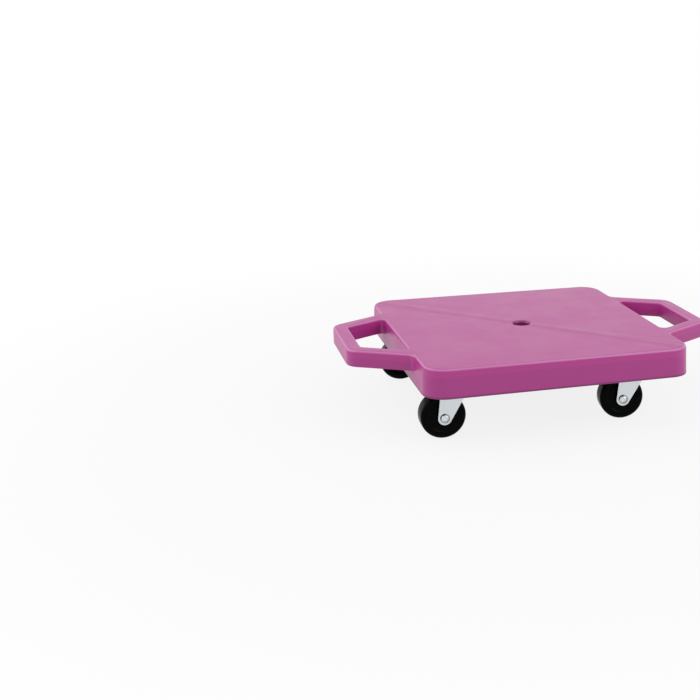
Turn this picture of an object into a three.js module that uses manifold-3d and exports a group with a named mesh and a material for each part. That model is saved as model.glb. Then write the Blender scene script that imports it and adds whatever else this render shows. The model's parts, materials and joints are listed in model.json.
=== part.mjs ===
// A plastic scooter board: a square moulded deck with a hand grip on each side, on four swivel casters.
// Millimetres, +Z up. +X runs from grip to grip, -Y is the front, and the origin lies on the floor
// below the middle of the deck. The casters stand turned a little, as they come to rest after a roll.

import * as THREE from "three";
import { mergeVertices } from "three/addons/utils/BufferGeometryUtils.js";
import Module from "manifold-3d";

const wasm = await Module();
wasm.setup();

// Deck moulding: a square top with a skirt all round, hollow and ribbed below
const deckLength = 305;
const deckWidth = 305;
const deckCornerRadius = 24;
const deckSkin = 4;
const skirtWall = 4;
const skirtDraft = 1.2;
const skirtClearance = 7.6; // from the top of a wheel up to the skirt's lower edge
const topEdgeRound = 3;
const centreHoleDiameter = 20;

// Ribs under the deck
const ribThickness = 3;
const ribCells = 7; // the spaces between ribs along a side
const ribDepthShare = 0.72; // of the caster pads' depth
const twinRibGapAtHole = 6;
const twinRibGapAtCorner = 25;
const bossWall = 4;

// Hand grips, moulded in one piece with the deck and flush with its top
const handleReach = 66;
const handleRootWidth = 178;
const handleTipWidth = 106;
const handleThickness = 19;
const handleTipRadius = 18;
const handleRootFillet = 10;
const handleWall = 3.4;
const gripWidth = 17;
const strutWidthAtDeck = 19.5;
const strutWidthAtGrip = 19.4;
const slotSetback = 0.6;
const slotCornerRadius = 5;
const strutRibShares = [0.3, 0.72];
const gripRibShares = [-0.5, 0, 0.5];

// Caster pads under the deck, and where the casters swivel
const casterInset = 46.5;
const padDepth = 20.9;
const padMargin = 2;
const padWall = 3.5;
const screwBossWall = 3;

// Caster top plate and its four screws
const plateLength = 60;
const plateWidth = 46;
const plateThickness = 2;
const plateCornerRadius = 6;
const screwInset = 7;
const screwDiameter = 4;
const screwLength = 15;
const screwHeadDiameter = 8.4;
const screwHeadHeight = 2.4;
const screwHeadSides = 6;
const screwHoleClearance = 0.7;

// Swivel: a ball ring between plate and fork, held by a riveted kingpin
const kingpinDiameter = 8;
const kingpinHeadDiameter = 12;
const kingpinHeadHeight = 1.4;
const kingpinHeadEase = 1.5;
const raceGap = 3;
const ballDiameter = 4;
const ballCount = 8;
const cageWidth = 1.6;
const cageThickness = 0.8;
const raceFloorShare = 0.45; // of a ball's radius
const raceMouthShare = 0.95; // of a ball's radius
const washerDiameter = 22;
const washerThickness = 1.5;

// Fork: one zinc-plated pressing, bent down at both sides to an ear that carries the axle
const forkSheet = 2;
const forkBend = 3.5;
const crownRadius = 19;
const crownClearance = 8; // from the top of the wheel up to the crown
const trail = 20;
const earRadius = 7.6;
const earBossHeight = 1;
const earBossRadius = 6.4;
const earRecessDepth = 1.5;
const earRecessRadius = 5.7;
const legTopWidth = 35;
const legShoulder = 10;
const legLean = 2.4; // of the rear edge, towards the kingpin
const legSweep = 5;
const noseLip = 1;

// Wheel, axle and the sleeve that the wheel turns on
const wheelDiameter = 50.8;
const wheelWidth = 22;
const wheelShoulder = 4.5;
const rimWidth = 5;
const hubDiameter = 18;
const hubStand = 1.4;
const webDish = 1;
const wheelSides = 24;
const axleDiameter = 6.3;
const axleHeadDiameter = 8.4;
const axleHeadHeight = 1.8;
const axleHeadCrownShare = 0.72; // of the head's radius
const sleeveWall = 1.1;

// Fits and the fineness of arcs
const seatGap = 0.3;
const runningGap = 0.3;
const overrun = 2;
const facetSag = 0.16;
const halfTurn = 180; // degrees
const edgeSteps = 2;
const fewestArcSteps = 2;
const turnedSides = 14;
const hiddenSides = 12;
const bossSides = 6;
const ballSides = 6;

// Where each caster stands, and how far its wheel is turned from straight ahead at rest
const casters = [
  { name: "front_left", alongX: -1, alongY: -1, restTurn: -1 },
  { name: "front_right", alongX: 1, alongY: -1, restTurn: -8 },
  { name: "back_left", alongX: -1, alongY: 1, restTurn: -7 },
  { name: "back_right", alongX: 1, alongY: 1, restTurn: -6 },
];

// Heights above the floor, from the wheels up
const wheelRadius = wheelDiameter / 2;
const skirtUnder = wheelDiameter + skirtClearance;
const crownUnder = wheelDiameter + crownClearance;
const crownTop = crownUnder + forkSheet;
const plateUnder = crownTop + raceGap;
const plateTop = plateUnder + plateThickness;
const padFace = plateTop + seatGap;
const skinUnder = padFace + padDepth;
const deckTop = skinUnder + deckSkin;
const handleUnder = deckTop - handleThickness;
const ribUnder = skinUnder - padDepth * ribDepthShare;

// Widths that follow from the wheel outwards
const axleRadius = axleDiameter / 2;
const sleeveBore = axleRadius + runningGap;
const sleeveRadius = sleeveBore + sleeveWall;
const wheelBore = sleeveRadius + runningGap;
const hubHalf = wheelWidth / 2 + hubStand;
const sleeveHalf = hubHalf + runningGap;
const earInner = sleeveHalf + seatGap + earBossHeight;
const earOuter = earInner + forkSheet;
const ballRadius = ballDiameter / 2;
const ballLevel = crownTop + raceGap / 2;
const ballCircle = earOuter - forkBend - ballRadius;

// Half sizes of the deck, and the slot's far edge
const halfLength = deckLength / 2;
const halfWidth = deckWidth / 2;
const tipX = halfLength + handleReach;
const slotNearX = halfLength + slotSetback;
const slotFarX = tipX - gripWidth;

function arcSteps(radius, turn) {
  const step = 2 * Math.acos(1 - Math.min(facetSag / radius, 1 / 2));
  return Math.max(fewestArcSteps, Math.ceil(Math.abs(turn) / step));
}

function arc(x, y, radius, start, turn) {
  const steps = arcSteps(radius, turn);
  return Array.from({ length: steps + 1 }, (_, i) => {
    const angle = start + (turn * i) / steps;
    return new THREE.Vector2(x + radius * Math.cos(angle), y + radius * Math.sin(angle));
  });
}

function circle(x, y, radius) {
  return arc(x, y, radius, 0, 2 * Math.PI).slice(1);
}

// A plain regular outline for what stays out of sight
function regular(x, y, radius, sides) {
  return Array.from({ length: sides }, (_, i) => {
    const angle = (2 * Math.PI * (i + 1 / 2)) / sides;
    return new THREE.Vector2(x + radius * Math.cos(angle), y + radius * Math.sin(angle));
  });
}

// An outline through corners given as [x, y, radius], each corner rounded by its radius
function roundedOutline(corners) {
  return corners.flatMap(([x, y, radius], i) => {
    const corner = new THREE.Vector2(x, y);
    if (!radius) {
      return [corner];
    }
    const [beforeX, beforeY] = corners.at(i - 1);
    const [afterX, afterY] = corners[(i + 1) % corners.length];
    const back = new THREE.Vector2(beforeX, beforeY).sub(corner).normalize();
    const ahead = new THREE.Vector2(afterX, afterY).sub(corner).normalize();
    const half = Math.acos(THREE.MathUtils.clamp(back.dot(ahead), -1, 1)) / 2;
    const middle = back.clone().add(ahead).normalize();
    const centre = corner.clone().addScaledVector(middle, radius / Math.sin(half));
    const start = corner.clone().addScaledVector(back, radius / Math.tan(half)).sub(centre);
    const turn = (Math.PI - 2 * half) * Math.sign(ahead.cross(back));
    return arc(centre.x, centre.y, radius, start.angle(), turn);
  });
}

function roundedRectangle(length, width, radius) {
  const x = length / 2;
  const y = width / 2;
  return roundedOutline([
    [x, -y, radius],
    [x, y, radius],
    [-x, y, radius],
    [-x, -y, radius],
  ]);
}

// Moves every side of a counter-clockwise outline outwards by a distance and gives the new corners
function offsetCorners(corners, distance) {
  const sides = corners.map(([x, y], i) => {
    const [nextX, nextY] = corners[(i + 1) % corners.length];
    const along = new THREE.Vector2(nextX - x, nextY - y).normalize();
    const point = new THREE.Vector2(x + along.y * distance, y - along.x * distance);
    return { point, along };
  });
  return sides.map((side, i) => {
    const last = sides.at(i - 1);
    const apart = side.point.clone().sub(last.point);
    const reach = apart.cross(side.along) / last.along.cross(side.along);
    const corner = last.point.clone().addScaledVector(last.along, reach);
    return [corner.x, corner.y];
  });
}

function withRadii(corners, radii) {
  return corners.map(([x, y], i) => [x, y, radii[i]]);
}

function solidOf(geometry) {
  geometry.deleteAttribute("normal");
  geometry.deleteAttribute("uv");
  const merged = mergeVertices(geometry);
  const index = merged.index.array;
  const triVerts = [];
  for (let i = 0; i < index.length; i += 3) {
    const [a, b, c] = index.slice(i, i + 3);
    if (a !== b && b !== c && c !== a) {
      triVerts.push(a, b, c);
    }
  }
  const mesh = new wasm.Mesh({
    numProp: 3,
    vertProperties: new Float32Array(merged.attributes.position.array),
    triVerts: new Uint32Array(triVerts),
  });
  return new wasm.Manifold(mesh);
}

function shapeOf(outline, holes) {
  const shape = new THREE.Shape(outline);
  shape.holes = holes.map((hole) => new THREE.Path(hole));
  return shape;
}

function prismGeometry(outline, low, high, holes = []) {
  const geometry = new THREE.ExtrudeGeometry(shapeOf(outline, holes), {
    depth: high - low,
    bevelEnabled: false,
  });
  return geometry.translate(0, 0, low);
}

function prism(outline, low, high, holes = []) {
  return solidOf(prismGeometry(outline, low, high, holes));
}

// A prism across the caster: its outline is drawn in x and z, and it spans -half to +half along y
function crossPrism(outline, half) {
  return solidOf(prismGeometry(outline, -half, half).rotateX(Math.PI / 2));
}

// A prism along the caster: its outline is drawn in y and z, and it spans low to high along x
function longPrism(outline, low, high) {
  const turn = new THREE.Matrix4().makeBasis(
    new THREE.Vector3(0, 1, 0),
    new THREE.Vector3(0, 0, 1),
    new THREE.Vector3(1, 0, 0),
  );
  return solidOf(prismGeometry(outline, low, high).applyMatrix4(turn));
}

// A straight bar seen from above, between two points
function bar(x0, y0, x1, y1, thickness, low, high) {
  const along = new THREE.Vector2(x1 - x0, y1 - y0).normalize();
  const sideX = (-along.y * thickness) / 2;
  const sideY = (along.x * thickness) / 2;
  const outline = [
    new THREE.Vector2(x0 - sideX, y0 - sideY),
    new THREE.Vector2(x1 - sideX, y1 - sideY),
    new THREE.Vector2(x1 + sideX, y1 + sideY),
    new THREE.Vector2(x0 + sideX, y0 + sideY),
  ];
  return prism(outline, low, high);
}

// A turned piece: its profile is [radius, height] pairs, from the axis up its outside to the axis again
function turnedGeometry(profile, sides, phase = 0) {
  const points = profile.map(([radius, height]) => new THREE.Vector2(radius, height));
  return new THREE.LatheGeometry(points, sides, phase, 2 * Math.PI);
}

function turnedUpright(profile, sides) {
  return solidOf(turnedGeometry(profile, sides).rotateX(Math.PI / 2));
}

// A ring: its profile closes on itself
function ring(profile) {
  return turnedUpright([...profile, profile[0]], hiddenSides);
}

function union(solids) {
  return solids.reduce((whole, solid) => whole.add(solid));
}

function screwPlaces() {
  const x = plateLength / 2 - screwInset;
  const y = plateWidth / 2 - screwInset;
  return [
    [-x, -y],
    [x, -y],
    [x, y],
    [-x, y],
  ];
}

function handleCorners() {
  return [
    [halfLength, -handleRootWidth / 2],
    [tipX, -handleTipWidth / 2],
    [tipX, handleTipWidth / 2],
    [halfLength, handleRootWidth / 2],
  ];
}

function slotCorners() {
  const near = handleRootWidth / 2 - strutWidthAtDeck;
  const narrowing = (handleRootWidth - handleTipWidth) / 2 / handleReach;
  const far = handleRootWidth / 2 - narrowing * (slotFarX - halfLength) - strutWidthAtGrip;
  return [
    [slotNearX, -near],
    [slotFarX, -far],
    [slotFarX, far],
    [slotNearX, near],
  ];
}

function turnedOver(corners) {
  return corners.map(([x, y, ...rest]) => [-x, -y, ...rest]);
}

// The board's outline from above: half of it, and the same half turned round
function boardOutline() {
  const radii = [handleRootFillet, handleTipRadius, handleTipRadius, handleRootFillet];
  const rightHalf = [
    [halfLength, -halfWidth, deckCornerRadius],
    ...withRadii(handleCorners(), radii),
    [halfLength, halfWidth, deckCornerRadius],
  ];
  return roundedOutline([...rightHalf, ...turnedOver(rightHalf)]);
}

function slotOutline(corners) {
  return roundedOutline(corners.map(([x, y]) => [x, y, slotCornerRadius]));
}

// The top of the board with both grips, rounded along every upper edge
function topPlate() {
  const holes = [
    slotOutline(slotCorners()),
    slotOutline(turnedOver(slotCorners())),
    circle(0, 0, centreHoleDiameter / 2),
  ];
  const geometry = new THREE.ExtrudeGeometry(shapeOf(boardOutline(), holes), {
    depth: handleThickness,
    bevelThickness: topEdgeRound,
    bevelSize: topEdgeRound,
    bevelOffset: -topEdgeRound,
    bevelSegments: edgeSteps,
  });
  geometry.translate(0, 0, handleUnder - topEdgeRound);
  const spare = roundedRectangle(2 * (tipX + overrun), deckWidth + 2 * overrun, 0);
  return solidOf(geometry).subtract(prism(spare, handleUnder - 2 * topEdgeRound - overrun, handleUnder));
}

// The block that the skirt is cut from, wider at its lower edge so that it leaves the mould
function skirtBlock() {
  const top = deckTop - topEdgeRound;
  const geometry = prismGeometry(roundedRectangle(deckLength, deckWidth, deckCornerRadius), skirtUnder, top);
  const place = geometry.attributes.position;
  for (let i = 0; i < place.count; i += 1) {
    const drop = (top - place.getZ(i)) / (top - skirtUnder);
    place.setX(i, place.getX(i) * (1 + (drop * skirtDraft) / halfLength));
    place.setY(i, place.getY(i) * (1 + (drop * skirtDraft) / halfWidth));
  }
  return solidOf(geometry);
}

// Ribs that run in from each side of the skirt and end on the twin ribs
function sideRibs() {
  const bars = [];
  const high = skinUnder + overrun;
  const spread = (twinRibGapAtCorner - twinRibGapAtHole) / Math.hypot(deckLength, deckWidth);
  for (let i = 1; i < ribCells; i += 1) {
    const share = i / ribCells - 1 / 2;
    const x = (deckLength - 2 * skirtWall) * share;
    const y = (deckWidth - 2 * skirtWall) * share;
    const nearY = Math.abs(x) * (deckWidth / deckLength + spread) + twinRibGapAtHole / 2;
    const nearX = Math.abs(y) * (deckLength / deckWidth + spread) + twinRibGapAtHole / 2;
    for (const side of [-1, 1]) {
      bars.push(bar(x, side * nearY, x, side * halfWidth, ribThickness, ribUnder, high));
      bars.push(bar(side * nearX, y, side * halfLength, y, ribThickness, ribUnder, high));
    }
  }
  return bars;
}

// Twin ribs that run from the centre hole to each corner and draw apart on the way
function twinRibs() {
  const bars = [];
  const high = skinUnder + overrun;
  const from = centreHoleDiameter / 2 + bossWall / 2;
  const reach = Math.hypot(halfLength, halfWidth);
  for (const [alongX, alongY] of [[1, 1], [-1, 1], [-1, -1], [1, -1]]) {
    const dirX = (alongX * halfLength) / reach;
    const dirY = (alongY * halfWidth) / reach;
    for (const side of [-1, 1]) {
      const near = (side * twinRibGapAtHole) / 2;
      const far = (side * twinRibGapAtCorner) / 2;
      const x0 = dirX * from - dirY * near;
      const y0 = dirY * from + dirX * near;
      const x1 = dirX * reach - dirY * far;
      const y1 = dirY * reach + dirX * far;
      bars.push(bar(x0, y0, x1, y1, ribThickness, ribUnder, high));
    }
  }
  return bars;
}

function holeBoss() {
  return prism(circle(0, 0, centreHoleDiameter / 2 + bossWall), ribUnder, skinUnder + overrun);
}

// A caster pad: a walled frame with four screw bosses and a boss round the kingpin's head
function casterPad() {
  const length = plateLength + 2 * padMargin;
  const width = plateWidth + 2 * padMargin;
  const outer = roundedRectangle(length, width, 0);
  const inner = roundedRectangle(length - 2 * padWall, width - 2 * padWall, 0);
  const high = skinUnder + overrun;
  const boss = screwDiameter / 2 + runningGap + screwBossWall;
  const pieces = [
    prism(outer, padFace, high, [inner]),
    prism(regular(0, 0, kingpinHeadDiameter / 2 + kingpinHeadEase + padWall, bossSides), padFace, high),
    ...screwPlaces().map(([x, y]) => prism(regular(x, y, boss, bossSides), padFace, high)),
  ];
  return union(pieces);
}

// What is drilled into a pad: four pilot holes and room for the kingpin's head
function padHoles() {
  const low = padFace - overrun;
  const headRoom = padFace + kingpinHeadHeight + kingpinHeadEase;
  const pilotTop = plateUnder + screwLength;
  const headRadius = kingpinHeadDiameter / 2 + kingpinHeadEase;
  const headHole = prism(regular(0, 0, headRadius, bossSides), low, headRoom);
  const pilots = screwPlaces().map(([x, y]) => {
    return prism(regular(x, y, screwDiameter / 2 + screwHoleClearance, bossSides), low, pilotTop);
  });
  return union([headHole, ...pilots]);
}

function atEachCaster(solid) {
  return casters.map(({ alongX, alongY }) => {
    return solid.translate([alongX * (halfLength - casterInset), alongY * (halfWidth - casterInset), 0]);
  });
}

// The channel under the right grip: the handle inside its walls, less the slot's own wall and cross ribs
function gripChannel() {
  const low = handleUnder - overrun;
  const outside = offsetCorners(handleCorners(), -handleWall);
  const root = halfLength + skirtDraft;
  outside[0][0] = root;
  outside[3][0] = root;
  const tipRadius = handleTipRadius - handleWall;
  const channel = prism(roundedOutline(withRadii(outside, [0, tipRadius, tipRadius, 0])), low, skinUnder);
  const slotWall = prism(slotOutline(offsetCorners(slotCorners(), handleWall)), low - overrun, deckTop);
  return channel.subtract(union([slotWall, ...gripRibs()]));
}

function gripRibs() {
  const low = handleUnder;
  const ribs = gripRibShares.map((share) => {
    const y = (share * handleTipWidth) / 2;
    return bar(slotFarX, y, tipX, y, ribThickness, low, deckTop);
  });
  const [rootX, rootY] = handleCorners()[3];
  const [farX, farY] = handleCorners()[2];
  const along = new THREE.Vector2(farX - rootX, farY - rootY);
  const across = new THREE.Vector2(along.y, -along.x).normalize().multiplyScalar(strutWidthAtDeck);
  for (const share of strutRibShares) {
    const x = rootX + along.x * share;
    const y = rootY + along.y * share;
    for (const side of [-1, 1]) {
      ribs.push(bar(x, side * y, x + across.x, side * (y + across.y), ribThickness, low, deckTop));
    }
  }
  return ribs;
}

function deckBoard() {
  const inside = roundedRectangle(
    deckLength - 2 * skirtWall,
    deckWidth - 2 * skirtWall,
    deckCornerRadius - skirtWall,
  );
  const kept = union([...sideRibs(), ...twinRibs(), holeBoss(), ...atEachCaster(casterPad())]);
  const hollow = prism(inside, skirtUnder - overrun, skinUnder).subtract(kept);
  const channel = gripChannel();
  const holeColumn = prism(circle(0, 0, centreHoleDiameter / 2), skirtUnder, deckTop - topEdgeRound);
  const cuts = [
    hollow,
    channel,
    channel.rotate([0, 0, halfTurn]),
    holeColumn,
    ...atEachCaster(padHoles()),
  ];
  return topPlate().add(skirtBlock()).subtract(union(cuts));
}

// The race that the balls run in, pressed into a face at the given height and opening up or down
function race(face, opening) {
  const floor = ballLevel - opening * (ballRadius + runningGap);
  const floorHalf = ballRadius * raceFloorShare;
  const mouthHalf = ballRadius * raceMouthShare;
  const past = face + opening * (raceGap / 2);
  const low = Math.min(floor, past);
  const high = Math.max(floor, past);
  const lowHalf = opening > 0 ? floorHalf : mouthHalf;
  const highHalf = opening > 0 ? mouthHalf : floorHalf;
  return ring([
    [ballCircle - lowHalf, low],
    [ballCircle + lowHalf, low],
    [ballCircle + mouthHalf, face],
    [ballCircle + highHalf, high],
    [ballCircle - highHalf, high],
    [ballCircle - mouthHalf, face],
  ]);
}

function casterPlate() {
  const holes = [
    regular(0, 0, kingpinDiameter / 2 + seatGap, hiddenSides),
    ...screwPlaces().map(([x, y]) => regular(x, y, screwDiameter / 2 + screwHoleClearance, bossSides)),
  ];
  const outline = roundedRectangle(plateLength, plateWidth, plateCornerRadius);
  return prism(outline, plateUnder, plateTop, holes).subtract(race(plateUnder, -1));
}

// A hex-headed screw, driven up through the plate into its boss
function screw() {
  const headTop = plateUnder - seatGap;
  const headUnder = headTop - screwHeadHeight;
  const head = screwHeadDiameter / 2;
  const shank = screwDiameter / 2;
  const profile = [
    [0, headUnder],
    [head, headUnder],
    [head, headTop],
    [shank, headTop],
    [shank, headTop + screwLength - screwDiameter],
    [0, headTop + screwLength],
  ];
  return turnedUpright(profile, screwHeadSides);
}

function kingpin() {
  const shank = kingpinDiameter / 2;
  const head = kingpinHeadDiameter / 2;
  const lowerSeat = crownUnder - runningGap - washerThickness - seatGap;
  const upperSeat = plateTop + seatGap;
  const profile = [
    [0, lowerSeat - kingpinHeadHeight],
    [head / 2, lowerSeat - kingpinHeadHeight],
    [head, lowerSeat],
    [shank, lowerSeat],
    [shank, upperSeat],
    [head, upperSeat],
    [head / 2, upperSeat + kingpinHeadHeight],
    [0, upperSeat + kingpinHeadHeight],
  ];
  return turnedUpright(profile, hiddenSides);
}

function raceWasher() {
  const high = crownUnder - runningGap;
  const low = high - washerThickness;
  const bore = kingpinDiameter / 2 + seatGap;
  const outside = washerDiameter / 2;
  return ring([
    [bore, low],
    [outside - washerThickness, low],
    [outside, high - washerThickness / 2],
    [outside, high],
    [bore, high],
  ]);
}

function ballRing() {
  const cage = ring([
    [ballCircle - cageWidth / 2, ballLevel - cageThickness / 2],
    [ballCircle + cageWidth / 2, ballLevel - cageThickness / 2],
    [ballCircle + cageWidth / 2, ballLevel + cageThickness / 2],
    [ballCircle - cageWidth / 2, ballLevel + cageThickness / 2],
  ]);
  const balls = Array.from({ length: ballCount }, (_, i) => {
    const angle = (2 * Math.PI * i) / ballCount;
    const ball = solidOf(new THREE.SphereGeometry(ballRadius, ballSides, ballSides / 3));
    return ball.translate([ballCircle * Math.cos(angle), ballCircle * Math.sin(angle), ballLevel]);
  });
  return union([cage, ...balls]);
}

// The bent sheet seen along the caster: an upside-down U
function forkSection() {
  const low = wheelRadius - earRadius - overrun;
  const innerBend = forkBend - forkSheet;
  return roundedOutline([
    [earOuter, low, 0],
    [earOuter, crownTop, forkBend],
    [-earOuter, crownTop, forkBend],
    [-earOuter, low, 0],
    [-earInner, low, 0],
    [-earInner, crownUnder, innerBend],
    [earInner, crownUnder, innerBend],
    [earInner, low, 0],
  ]);
}

// The fork from the side: round the ear, up the slanting front edge to the nose, and down the back
function forkSide() {
  const rear = -trail - earRadius;
  const rootX = rear + legTopWidth;
  const rootZ = crownUnder - noseLip;
  const toRoot = new THREE.Vector2(rootX + trail, rootZ - wheelRadius);
  const front = toRoot.angle() - Math.acos(earRadius / toRoot.length());
  const shoulderZ = crownUnder - legShoulder;
  const toShoulder = new THREE.Vector2(rear + legLean + trail, shoulderZ - wheelRadius);
  const back = toShoulder.angle() + Math.acos(earRadius / toShoulder.length()) - 2 * Math.PI;
  const ear = arc(-trail, wheelRadius, earRadius, back, front - back);
  const noseX = crownRadius + overrun;
  return roundedOutline([
    ...ear.map(({ x, y }) => [x, y, 0]),
    [rootX, rootZ, legSweep],
    [noseX, rootZ, 0],
    [noseX, crownTop + overrun, 0],
    [-crownRadius, crownTop + overrun, 0],
    [-crownRadius, crownUnder - forkSheet, 0],
    [rear + legLean, shoulderZ, 0],
  ]);
}

// The fork from above: a round nose about the kingpin, and square behind it
function forkPlan() {
  const rear = -trail - earRadius - overrun;
  const wide = Math.max(crownRadius, earOuter + overrun);
  return [
    ...arc(0, 0, crownRadius, -Math.PI / 2, Math.PI),
    new THREE.Vector2(0, wide),
    new THREE.Vector2(rear, wide),
    new THREE.Vector2(rear, -wide),
    new THREE.Vector2(0, -wide),
  ];
}

function fork() {
  const low = wheelRadius - earRadius - overrun;
  const sheet = longPrism(forkSection(), -trail - earRadius - overrun, crownRadius + overrun);
  const cutSheet = sheet
    .intersect(crossPrism(forkSide(), earOuter + overrun))
    .intersect(prism(forkPlan(), low, crownTop + overrun));
  const axleAt = [-trail, wheelRadius];
  const bosses = crossPrism(circle(...axleAt, earBossRadius), earInner + forkSheet / 2);
  const between = crossPrism(circle(...axleAt, earBossRadius + overrun), earInner - earBossHeight);
  const recess = crossPrism(circle(...axleAt, earRecessRadius), earOuter + overrun);
  const recessFloor = crossPrism(circle(...axleAt, earRecessRadius + overrun), earOuter - earRecessDepth);
  const axleHole = crossPrism(circle(...axleAt, axleRadius + seatGap), earOuter + overrun);
  const pinHole = prism(
    regular(0, 0, kingpinDiameter / 2 + runningGap, hiddenSides),
    low,
    crownTop + overrun,
  );
  return cutSheet
    .add(bosses.subtract(between))
    .subtract(union([recess.subtract(recessFloor), axleHole, pinHole, race(crownTop, 1)]));
}

// The wheel about its own axle, along y. Its flats touch the floor, so its corners stand a little proud.
function wheel() {
  const tread = wheelRadius / Math.cos(Math.PI / wheelSides);
  const faceHalf = wheelWidth / 2;
  const shoulder = arc(tread - wheelShoulder, faceHalf - wheelShoulder, wheelShoulder, 0, Math.PI / 2);
  const outerHalf = [
    ...shoulder.map(({ x, y }) => [x, y]),
    [tread - wheelShoulder - rimWidth, faceHalf - webDish],
    [hubDiameter / 2, faceHalf - webDish],
    [hubDiameter / 2, hubHalf],
    [wheelBore, hubHalf],
  ];
  const mirrored = outerHalf.map(([radius, side]) => [radius, -side]).reverse();
  const profile = [...mirrored, ...outerHalf, mirrored[0]];
  return solidOf(turnedGeometry(profile, wheelSides, Math.PI / wheelSides));
}

function axleSleeve() {
  const profile = [
    [sleeveBore, -sleeveHalf],
    [sleeveRadius, -sleeveHalf],
    [sleeveRadius, sleeveHalf],
    [sleeveBore, sleeveHalf],
    [sleeveBore, -sleeveHalf],
  ];
  return solidOf(turnedGeometry(profile, turnedSides));
}

// A rivet through both ears: a domed head at each end, seated in the ear's recess
function axleRivet() {
  const seat = earOuter - earRecessDepth + seatGap;
  const head = axleHeadDiameter / 2;
  const outerHalf = [
    [axleRadius, seat],
    [head, seat],
    [head, seat + axleHeadHeight / 2],
    [head * axleHeadCrownShare, seat + axleHeadHeight],
    [0, seat + axleHeadHeight],
  ];
  const mirrored = outerHalf.map(([radius, side]) => [radius, -side]).reverse();
  return solidOf(turnedGeometry([...mirrored, ...outerHalf], turnedSides));
}

function purplePolyethylene() {
  return new THREE.MeshStandardMaterial({ color: 0xb95e9e, roughness: 0.45, metalness: 0 });
}

function blackPolyolefin() {
  return new THREE.MeshStandardMaterial({ color: 0x0c0c0d, roughness: 0.25, metalness: 0 });
}

function zincPlate() {
  return new THREE.MeshStandardMaterial({ color: 0xc9ced1, roughness: 0.35, metalness: 1 });
}

function steelBall() {
  return new THREE.MeshStandardMaterial({ color: 0xb4b7ba, roughness: 0.2, metalness: 1 });
}

function meshOf(name, solid, material) {
  const { numProp, vertProperties, triVerts } = solid.getMesh();
  const geometry = new THREE.BufferGeometry();
  geometry.setAttribute("position", new THREE.BufferAttribute(vertProperties, numProp));
  geometry.setIndex(new THREE.BufferAttribute(triVerts, 1));
  geometry.computeVertexNormals();
  const mesh = new THREE.Mesh(geometry, material);
  mesh.name = name;
  return mesh;
}

const shapes = {
  plate: casterPlate(),
  kingpin: kingpin(),
  washer: raceWasher(),
  ballRing: ballRing(),
  screw: screw(),
  fork: fork(),
  sleeve: axleSleeve(),
  rivet: axleRivet(),
  wheel: wheel(),
};

// What turns about the kingpin: the fork, its ball ring, and the axle with the wheel on it
function swivelGroup(name, restTurn) {
  const swivel = new THREE.Group();
  swivel.rotation.z = THREE.MathUtils.degToRad(restTurn);
  const axle = new THREE.Group();
  axle.position.set(-trail, 0, wheelRadius);
  axle.add(
    meshOf(`${name}_axle_rivet`, shapes.rivet, zincPlate()),
    meshOf(`${name}_axle_sleeve`, shapes.sleeve, zincPlate()),
    meshOf(`${name}_wheel`, shapes.wheel, blackPolyolefin()),
  );
  swivel.add(
    meshOf(`${name}_fork`, shapes.fork, zincPlate()),
    meshOf(`${name}_ball_ring`, shapes.ballRing, steelBall()),
    axle,
  );
  return swivel;
}

function casterGroup({ name, alongX, alongY, restTurn }) {
  const caster = new THREE.Group();
  caster.position.set(alongX * (halfLength - casterInset), alongY * (halfWidth - casterInset), 0);
  caster.add(
    meshOf(`${name}_caster_plate`, shapes.plate, zincPlate()),
    meshOf(`${name}_kingpin`, shapes.kingpin, zincPlate()),
    meshOf(`${name}_race_washer`, shapes.washer, zincPlate()),
    swivelGroup(name, restTurn),
  );
  screwPlaces().forEach(([x, y], i) => {
    const fastener = meshOf(`${name}_screw_${i + 1}`, shapes.screw, zincPlate());
    fastener.position.set(x, y, 0);
    caster.add(fastener);
  });
  return caster;
}

const board = new THREE.Group();
board.add(meshOf("deck_board", deckBoard(), purplePolyethylene()));
casters.forEach((caster) => board.add(casterGroup(caster)));

export default board;
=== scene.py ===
"""Finishes a moulded scooter board and its four swivel casters around their fixed frame, and lights them.

Lengths are in metres, +Z is up, and the origin lies on the floor below the middle of the deck.
"""

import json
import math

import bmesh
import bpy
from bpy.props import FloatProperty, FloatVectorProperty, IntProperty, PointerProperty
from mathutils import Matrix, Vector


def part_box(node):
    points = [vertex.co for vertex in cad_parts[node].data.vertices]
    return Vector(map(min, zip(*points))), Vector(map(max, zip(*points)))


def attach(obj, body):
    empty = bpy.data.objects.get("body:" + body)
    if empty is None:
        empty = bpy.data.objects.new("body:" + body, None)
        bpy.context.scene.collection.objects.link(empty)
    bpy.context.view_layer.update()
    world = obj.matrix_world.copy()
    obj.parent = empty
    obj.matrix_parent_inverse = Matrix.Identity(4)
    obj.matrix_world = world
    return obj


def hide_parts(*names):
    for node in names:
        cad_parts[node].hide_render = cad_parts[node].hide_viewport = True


bl_info = {
    "name": "Scooter Board",
    "version": (1, 0, 0),
    "blender": (4, 5, 0),
    "location": "3D View > Sidebar > Scooter Board",
    "description": "Builds the finished pieces of a scooter board: deck, casters, lights and camera",
    "category": "Object",
}

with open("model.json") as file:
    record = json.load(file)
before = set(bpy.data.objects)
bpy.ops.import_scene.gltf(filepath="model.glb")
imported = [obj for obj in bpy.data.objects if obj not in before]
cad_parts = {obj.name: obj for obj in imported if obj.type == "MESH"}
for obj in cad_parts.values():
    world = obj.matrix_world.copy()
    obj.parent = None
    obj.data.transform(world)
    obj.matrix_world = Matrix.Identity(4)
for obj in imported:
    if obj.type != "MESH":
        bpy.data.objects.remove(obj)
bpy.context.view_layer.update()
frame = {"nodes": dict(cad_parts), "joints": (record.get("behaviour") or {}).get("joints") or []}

MM = 0.001
SIZES = {"unit": "LENGTH", "precision": 5}
CASTERS = ("front_left", "front_right", "back_left", "back_right")
DECK_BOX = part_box("deck_board")
DECK_TOP = DECK_BOX[1].z


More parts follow.
